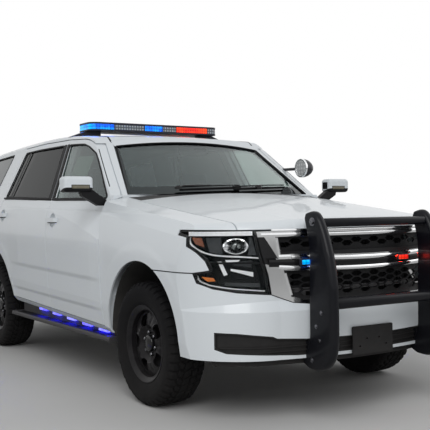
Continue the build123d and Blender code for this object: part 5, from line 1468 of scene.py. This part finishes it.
piece("grille_lamp_blue", grille_lamp(-432, LAMP_HEIGHT, lit_blue), "body")
piece("grille_lamps_red", grille_lamp(292, LAMP_HEIGHT, lit_red) + grille_lamp(505, LAMP_HEIGHT, lit_red),
      "body")

# %% [markdown]
# ## Spotlight and mirrors
# The spotlight on the driver's pillar is parked with its lens turned in across the hood, so that its
# dark bowl shows: a turned bowl, a metal ring, a shallow lens whose faint glow is a painted sheen, and
# the stalk to the pillar. The door mirrors have flat glass in their shells, facing back, and a small
# framed marker facing ahead.

# %% Spotlight head
SPOT = np.array([858.0, front_axle + 660, 1550.0])
SPOT_FOOT = np.array([800.0, front_axle + 900, 1548.0])
BOWL = [(0, 60), (20, 59), (38, 46), (52, 30), (66, 6), (74, -22), (76, -48), (70, -50), (68, -24),
        (58, 6), (40, 26), (0, 34)]
RING = [(64, -48), (66, -58), (73, -58), (76, -50), (76, -42), (72, -40)]
DISH = [(0, -56), (28, -55), (50, -53), (66, -50), (66, -46), (0, -51)]
# The spotlight is off; the dish's faint grey glow is a painted sheen of its reflector.
spot_dish_glow = lit("spot_dish_painted_glow", (0.55, 0.56, 0.56), 0.12, dim=0.1, pitch=0.03, base=(0.40, 0.41, 0.42))
spot_stalk = tube(np.linspace(SPOT + (10, 36, 0), SPOT_FOOT, 14), 12)
spot = piece("spotlight_head", [([turned(BOWL, SPOT), spot_stalk], finishes["spot_housing"]),
                                (turned(RING, SPOT, ring=True), chrome),
                                (turned(DISH, SPOT), spot_dish_glow)], "body")
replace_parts(spot, "spotlight")

# %% Mirror glass and markers
GLASS_REACH, MARKER_REACH, MARKER_FRAME = (1062, 1232), (1072, 1200), 6

for side, sign in SIDES:
    low, high = span(f"mirror_{side}")
    x0, x1 = sorted(sign * reach for reach in GLASS_REACH)
    glass_block = block((x0, high[1] - 4, 1373), (x1, high[1] + 1.5, 1446), 3, axis=1)
    m0, m1 = sorted(sign * reach for reach in MARKER_REACH)
    marker = block((m0, low[1] - 1.5, 1377), (m1, low[1] + 10, 1402), 5, axis=0)
    frame_block = block((m0 - MARKER_FRAME, low[1] - 0.6, 1377 - MARKER_FRAME),
                        (m1 + MARKER_FRAME, low[1] + 10, 1402 + MARKER_FRAME), 6, axis=0)
    piece(f"mirror_glass_{side}", [(glass_block, mirror_glass), (marker, marker_lens),
                                   (frame_block, gloss_black)], f"door_front_{side}")

# %% [markdown]
# ## Running board treads
# Each board has a ribbed rubber mat so that a boot doesn't slip. The ribs are one wave along the
# board's length, written into the heights of a grid and closed underneath.

# %% Running board mats
RIB_DEEP, RIB_PITCH, MAT_END = 2.0, 16.0, 110.0
board_low, board_high = span("running_boards")
mat_y = np.linspace(board_low[1] + MAT_END, board_high[1] - MAT_END, 700)[:, None]
mat_x = np.linspace(-990, -918, 7)[None]
rib = RIB_DEEP * np.abs(np.sin(mat_y * np.pi / RIB_PITCH))
rounding = 1.5 * np.abs(np.linspace(-1, 1, 7)[None]) ** 6
board_top = first_hit("running_boards", (-955, front_axle + 1200, 500), (0, 0, -1))[2]
mat = np.stack([mat_x + 0 * rib, mat_y + 0 * mat_x, board_top + 0.6 + rib - rounding], -1)
piece("board_mats", [(pair(plate(mat, (0, 0, -2.0))), soft_rubber)], "body")

# %% [markdown]
# ## The tail
# The tailgate carries a blank pale number plate in its recess, a wiper for its glass and a high
# brake lamp above it. The plate stays blank: it is a bare sheet with a rolled edge and two bolts.

# %% Number plate
TAIL_BACK = 1100.0
recess = rear_axle + TAIL_BACK
blank = finish("blank_plate", (0.62, 0.63, 0.62), rough=0.35, grained=(120, 0.0001), worn=(0.3, 9),
               worn_colour=(0.50, 0.50, 0.49), dusty=(0.5, 1.3))
plate_sheet = block((-152, recess + 1, 888), (152, recess + 4, 1040), 1.4, axis=1)
rim_path = loop([(-148, 892), (-148, 1036), (148, 1036), (148, 892)], 14, 8)
rim_path = np.stack([rim_path[:, 0], np.full(len(rim_path), recess + 4), rim_path[:, 1]], -1)
plate_rim = moulding(rim_path, (0, 1, 0), 6, 1.6, sunk=0.6, closed=True)
plate_bolts = [turned([(0, 3), (6, 3), (6, 8), (4, 10), (0, 10)], (x, recess + 1, 1016), axis=1, steps=6)
               for x in (-89, 89)]
piece("number_plate", [([plate_sheet, plate_rim], blank), (plate_bolts, bolt_steel)], "tailgate")

# %% Rear wiper and high brake lamp
TAIL_BELT = 1330.0
TAIL_SLOPE = (TAIL_BACK - 925) / (1842 - TAIL_BELT)


def on_tail(x, z, lift):
    """Points on the leaning upper tail, y = its back less its slope times the height over the belt,
    lifted rearwards."""
    x, z = np.broadcast_arrays(np.asarray(x, float), np.asarray(z, float))
    return np.stack([x, rear_axle + TAIL_BACK - (z - TAIL_BELT) * TAIL_SLOPE + lift, z], -1)


blade = on_tail(np.linspace(-30, -390, 24), np.linspace(1432, 1452, 24), 4)
arm = curve([on_tail(0, 1398, 14), on_tail(-90, 1424, 22), on_tail(-210, 1446, 12)], 20)
foot = turned([(0, -14), (20, -14), (20, 6), (14, 12), (0, 14)], on_tail(0, 1398, 8), axis=1)
piece("rear_wiper", [(tube(blade, 5), soft_rubber), (tube(arm, np.linspace(10, 6, 20)), gloss_black),
                     (foot, gloss_black)], "tailgate")
stop_lamp = block(on_tail(-160, 1757, -3), on_tail(160, 1773, 5), 3, axis=0)
piece("high_brake_lamp", [(stop_lamp, finishes["red_lens"])], "tailgate")

# %% [markdown]
# ## Push bumper
# Each upright is a deep plate channel seen from the side, as wide as a hand from the front. Two
# smooth curves give its front and rear edges in side view; a rounded rectangle is carried between
# them, as deep as they are apart. Two bars join the uprights, and bolts show on their outer faces.

# %% Push bumper uprights
UPRIGHT_AT, UPRIGHT_HALF = 422.0, 31.0
FRONT_EDGE = [(-1000, 317), (-1060, 315), (-1120, 336), (-1165, 386), (-1186, 450), (-1192, 530),
              (-1192, 720), (-1186, 830), (-1165, 940), (-1134, 1040), (-1102, 1114), (-1076, 1160),
              (-1046, 1192), (-1012, 1202), (-982, 1192)]
REAR_EDGE = [(-930, 352), (-938, 386), (-962, 420), (-978, 455), (-988, 495), (-991, 550), (-992, 720),
             (-995, 830), (-997, 920), (-994, 1000), (-984, 1060), (-970, 1110), (-961, 1141),
             (-958, 1160), (-966, 1178)]


NOSE_RADIUS, HEEL_RADIUS = 29.0, 12.0


def upright():
    """Rounded rectangle carried up between the two edges: its middle is their mean, its half depth
    half the distance between them, and each corner is a quarter circle."""
    front, rear = curve(FRONT_EDGE, 90), curve(REAR_EDGE, 90)
    centre, reach = (front + rear) / 2, (front - rear) / 2
    depth = np.linalg.norm(reach, axis=1, keepdims=True)
    way = reach / depth
    turn = corner_turns(6)
    signs = np.repeat([(1, 1), (-1, 1), (-1, -1), (1, -1)], 6, axis=0)
    bend = np.minimum(np.where(signs[:, 1] > 0, NOSE_RADIUS, HEEL_RADIUS), 0.9 * depth)
    wide = signs[:, 0] * (UPRIGHT_HALF - bend) + bend * np.cos(turn)
    deep = signs[:, 1] * (depth - bend) + bend * np.sin(turn)
    rows = np.stack([wide - UPRIGHT_AT, centre[:, :1] + deep * way[:, :1] + front_axle,
                     centre[:, 1:] + deep * way[:, 1:]], -1)
    return grid(rows, around=True, ends="capped")


print("uprights", UPRIGHT_AT, "mm from the middle")

# %% Bars, tongues and bolts
outer_face = UPRIGHT_AT + UPRIGHT_HALF
inner_face = UPRIGHT_AT - UPRIGHT_HALF + 6
bars = [block((-inner_face, front_axle - 1074, 1112), (inner_face, front_axle - 1016, 1161), 16, axis=0),
        block((-inner_face, front_axle - 1160, 660), (inner_face, front_axle - 1099, 720), 22, axis=0)]
tongues = pair(block((-442, front_axle - 1010, 405), (-396, front_axle - 905.5, 470), 4, axis=1))
BOLTS = [(-1030, 1143, 17), (-1052, 564, 9), (-1080, 488, 9), (-1098, 643, 9), (-1010, 372, 11)]
heads = []
for y, z, size in BOLTS:
    place = (-outer_face, front_axle + y, z)
    heads += [turned([(0, 0.4), (1.4 * size, 0.4), (1.4 * size, -1.6), (0, -2.0)], place, steps=24),
              turned([(0, -1.0), (size, -1.0), (size, -0.55 * size), (0.8 * size, -0.7 * size),
                      (0, -0.7 * size)], place, steps=6)]
guard = piece("push_bumper_frame", [(pair(upright()) + bars + tongues, finishes["bar_coating"]),
                                    (pairs(heads), shiny_steel)], "body", crease=40)
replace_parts(guard, "push_bumper")

# %% [markdown]
# ## Seats
# The front chairs and the rear bench are foam under cloth, seen dimly through the glass. A cushion
# is a rounded box whose faces crown and whose sides pull in: a superellipsoid, where each sine and
# cosine is raised to a small power. Sewn channels are narrow valleys across its crowned face.

# %% A cushion
PLAN_POWER, EDGE_POWER = 0.32, 0.5
VALLEY_DEEP, VALLEY_WIDE = 7.0, 0.02


def soft(wave, power):
    """A sine or cosine raised to a small power, its sign kept."""
    return np.sign(wave) * np.abs(wave) ** power


def cushion(centre, size, lean=0.0, channels=(), crown=0.16):
    """Superellipsoid: x and y are soft(cos v) times soft(cos u) and soft(sin u), z is soft(sin v).
    z grows by the crown in the middle, and each channel is a bell-shaped valley at its x."""
    u = np.linspace(0, 2 * np.pi, 96, endpoint=False)[None]
    v = np.linspace(-np.pi / 2, np.pi / 2, 48)[:, None]
    x = soft(np.cos(v), PLAN_POWER) * soft(np.cos(u), PLAN_POWER)
    y = soft(np.cos(v), PLAN_POWER) * soft(np.sin(u), PLAN_POWER)
    z = soft(np.sin(v), EDGE_POWER) * np.ones_like(u)
    pull = 1 - 0.035 * (1 - y ** 2) * np.abs(x), 1 - 0.03 * (1 - x ** 2) * np.abs(y)
    bulge = 1 + crown * (1 - x ** 2) * (1 - y ** 2)
    valley = sum((np.exp(-((x - at) / VALLEY_WIDE) ** 2) for at in channels), 0 * x)
    half = np.asarray(size, float) / 2
    thick = z * bulge * half[2] / (1 + crown) - np.sign(z) * VALLEY_DEEP * valley * (np.abs(z) > 0.3)
    local = np.stack([x * pull[0] * half[0], y * pull[1] * half[1], thick], -1)
    c, s = math.cos(lean), math.sin(lean)
    turned_back = local @ np.array([(1, 0, 0), (0, c, s), (0, -s, c)])
    return grid(turned_back + np.asarray(centre, float), around=True)


print("a cushion has", len(cushion((0, 0, 0), (500, 500, 120))[0]), "points")

# %% Chairs and bench
cloth = finish("dark_cloth", (0.028, 0.028, 0.030), rough=0.92, grained=(1400, 0.0008), worn=(0.35, 5),
               worn_colour=(0.05, 0.05, 0.055))
SEAT_LEAN, BENCH_LEAN = math.radians(90 - 12), math.radians(90 - 14)
SEAT_AT, HEADREST = 400, (262, 164, 84)


def padding(name, shape, *stands_for):
    """A padded piece in cloth that rides on the body."""
    made = piece(name, [(shape, cloth)], "body", crease=60)
    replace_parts(made, *stands_for)


for side, sign in SIDES:
    x = sign * SEAT_AT
    padding(f"chair_cushion_{side}",
            cushion((x, front_axle + 1352, 752), (515, 530, 128), channels=(-0.55, 0.55)), "front_seats")
    padding(f"chair_back_{side}",
            cushion((x, front_axle + 1652, 1060), (500, 620, 122), SEAT_LEAN, (-0.6, 0.6)))
    padding(f"chair_headrest_{side}",
            cushion((x, front_axle + 1692, 1460), HEADREST, SEAT_LEAN, crown=0.1))
padding("bench_cushion",
        cushion((0, front_axle + 2195, 702), (1235, 480, 126), channels=(-0.34, 0.34)), "rear_seat")
padding("bench_back", cushion((0, front_axle + 2476, 1010), (1215, 620, 122), BENCH_LEAN, (-0.34, 0.34)))
for side, sign in SIDES:
    padding(f"bench_headrest_{side}",
            cushion((sign * SEAT_AT, front_axle + 2512, 1382), HEADREST, BENCH_LEAN, crown=0.1))

# %% Plinths and headrest posts
plinths = [block((x - 190, front_axle + 1145, 562), (x + 190, front_axle + 1535, 690), 20)
           for x in (-SEAT_AT, SEAT_AT)]
plinths.append(block((-550, front_axle + 2015, 562), (550, front_axle + 2350, 640), 20))
posts = [tube([(x + dx, y + front_axle, z), (x + dx, y + front_axle + 6, z + 75)], 7, up=(1, 0, 0))
         for x in (-SEAT_AT, SEAT_AT) for dx in (-60, 60) for y, z in ((1686, 1322), (2506, 1245))]
piece("seat_bases", [(plinths, finishes["cabin_plastic"]), (posts, bolt_steel)], "body")

# %% [markdown]
# ## Dashboard and a blank slip in the window
# A hood stands over the instruments and a dark screen over the console. The photograph also shows
# a pale slip of paper inside the near front window; it is kept, and stays blank.

# %% Dashboard fittings
hood_block = block((225, front_axle + 640, 1190), (535, front_axle + 800, 1252), 24, axis=0)
dials = block((245, front_axle + 796, 1170), (515, front_axle + 812, 1238), 8, axis=1)
screen = block((-125, front_axle + 800, 1100), (125, front_axle + 838, 1212), 10, axis=1)
vents = [block((x - 65, front_axle + 806, 1130), (x + 65, front_axle + 830, 1180), 8, axis=1)
         for x in (-660, -240, 660)]
piece("dash_fittings", [([hood_block] + vents, finishes["cabin_plastic"]), ([dials, screen], gloss_black)],
      "body")

# %% Window slip
slip_colour = finish("pale_slip", (0.55, 0.66, 0.56), rough=0.7, grained=(300, 0.0001), worn=(0.2, 20))
u, v = np.linspace(0, 1, 14)[None], np.linspace(0, 1, 10)[:, None]
slip_face, slip_out = on_side(1110 + 285 * u + 0 * v, 1496 + 150 * v + 14 * u, -17.0)
piece("window_slip", [(plate(slip_face, -0.8 * slip_out), slip_colour)], "door_front_right")

# %% [markdown]
# ## Studio
# The vehicle stands on a pale floor in soft light. The world is an even pale grey that lights all
# sides, a large lamp ahead on the near side gives the panels their shape, and a weaker one fills the
# far side. Rays that the camera sends straight at the world, or through glass and off metal, see
# plain white instead.

# %% Floor
FLOOR, FLOOR_LIGHTER = (0.60, 0.60, 0.60, 1), (0.66, 0.66, 0.65, 1)
reach = 60.0
floor_mesh = bpy.data.meshes.new("studio_floor")
floor_mesh.from_pydata([(-reach, -reach, 0), (reach, -reach, 0), (reach, reach, 0), (-reach, reach, 0)], [],
                       [(0, 1, 2, 3)])
floor = bpy.data.objects.new("studio_floor", floor_mesh)
bpy.context.scene.collection.objects.link(floor)
ground = bpy.data.materials.new("studio_ground")
ground.use_nodes = True
tree = ground.node_tree
shader = tree.nodes["Principled BSDF"]
shader.inputs["Roughness"].default_value = 0.9
shader.inputs["Specular IOR Level"].default_value = 0.2
mottle = noise_in(tree, add(tree, "TexCoord").outputs["Object"], Scale=1.2, Detail=8.0)
wire(tree, blend(tree, mottle, FLOOR, FLOOR_LIGHTER), shader.inputs["Base Color"])
floor_mesh.materials.append(ground)
print("floor", 2 * reach, "m square")

# %% World
WORLD_LIGHT, SEEN_WHITE = 0.39, 1.0
world = bpy.data.worlds.new("studio")
bpy.context.scene.world = world
world.use_nodes = True
tree = world.node_tree
tree.nodes.clear()
path = add(tree, "LightPath").outputs
seen = sums(tree, "MAXIMUM", path["Is Camera Ray"], path["Is Transmission Ray"])
seen = sums(tree, "MAXIMUM", seen, path["Is Glossy Ray"])
strength = add(tree, "Mix", {0: seen, 2: WORLD_LIGHT, 3: SEEN_WHITE}, data_type="FLOAT").outputs[0]
sky = add(tree, "Background", {"Color": (1, 1, 1, 1), "Strength": strength})
output = tree.nodes.new("ShaderNodeOutputWorld")
wire(tree, sky.outputs[0], output.inputs[0])
print("world", WORLD_LIGHT)

# %% Lamps
KEY_POWER, FILL_POWER = 330.0, 80.0
BOX_SIZE, LOOK_AT = 5.0, (0, 0, 1.0)


def softbox(name, place, power):
    """A square area lamp that faces the middle of the vehicle."""
    lamp = bpy.data.lights.new(name, "AREA")
    lamp.energy, lamp.size = power, BOX_SIZE
    obj = bpy.data.objects.new(name, lamp)
    obj.location = place
    obj.rotation_euler = (Vector(LOOK_AT) - Vector(place)).to_track_quat("-Z", "Y").to_euler()
    bpy.context.scene.collection.objects.link(obj)


softbox("key", (-5.0, -7.0, 6.0), KEY_POWER)
softbox("fill", (6.0, -5.0, 5.0), FILL_POWER)
bpy.context.scene.view_settings.view_transform = "Standard"
print("key", KEY_POWER, "fill", FILL_POWER)

# %% [markdown]
# ## Camera
# The photograph was taken from the right front corner at chest height. Its place, turn and focal
# length were solved from the wheelbase, width and height of the vehicle; the numbers are that
# solution, measured from the front axle.

# %% Camera at the photograph's place
CAMERA_AT = np.array([-3336.0, -4593.0, 1204.0])
YAW, PITCH, ROLL = math.radians(32.27), math.radians(-0.74), math.radians(-0.92)
FOCAL_PIXELS, IMAGE_SIDE = 822.5, 430.0
CENTRE_X, CENTRE_Y = 215.4, 222.9
SENSOR = 36.0

ahead = np.array([math.sin(YAW) * math.cos(PITCH), math.cos(YAW) * math.cos(PITCH), math.sin(PITCH)])
level = np.array([math.cos(YAW), -math.sin(YAW), 0.0])
above = np.cross(level, ahead)
right = level * math.cos(ROLL) + above * math.sin(ROLL)
upward = -level * math.sin(ROLL) + above * math.cos(ROLL)
camera = bpy.data.objects.new("photo_camera", bpy.data.cameras.new("photo_camera"))
camera.data.sensor_width = SENSOR
camera.data.lens = FOCAL_PIXELS / IMAGE_SIDE * SENSOR
camera.data.shift_x = -(CENTRE_X - IMAGE_SIDE / 2) / IMAGE_SIDE
camera.data.shift_y = (CENTRE_Y - IMAGE_SIDE / 2) / IMAGE_SIDE
camera.data.clip_end = 200.0
axes = np.eye(4)
axes[:3, 0], axes[:3, 1], axes[:3, 2] = right, upward, -ahead
axes[:3, 3] = (CAMERA_AT + (0, front_axle, 0)) * MM
camera.matrix_world = Matrix(axes.tolist())
bpy.context.scene.collection.objects.link(camera)
bpy.context.scene.camera = camera
print("camera at", np.round(axes[:3, 3], 3), "lens", round(camera.data.lens, 2), "mm")
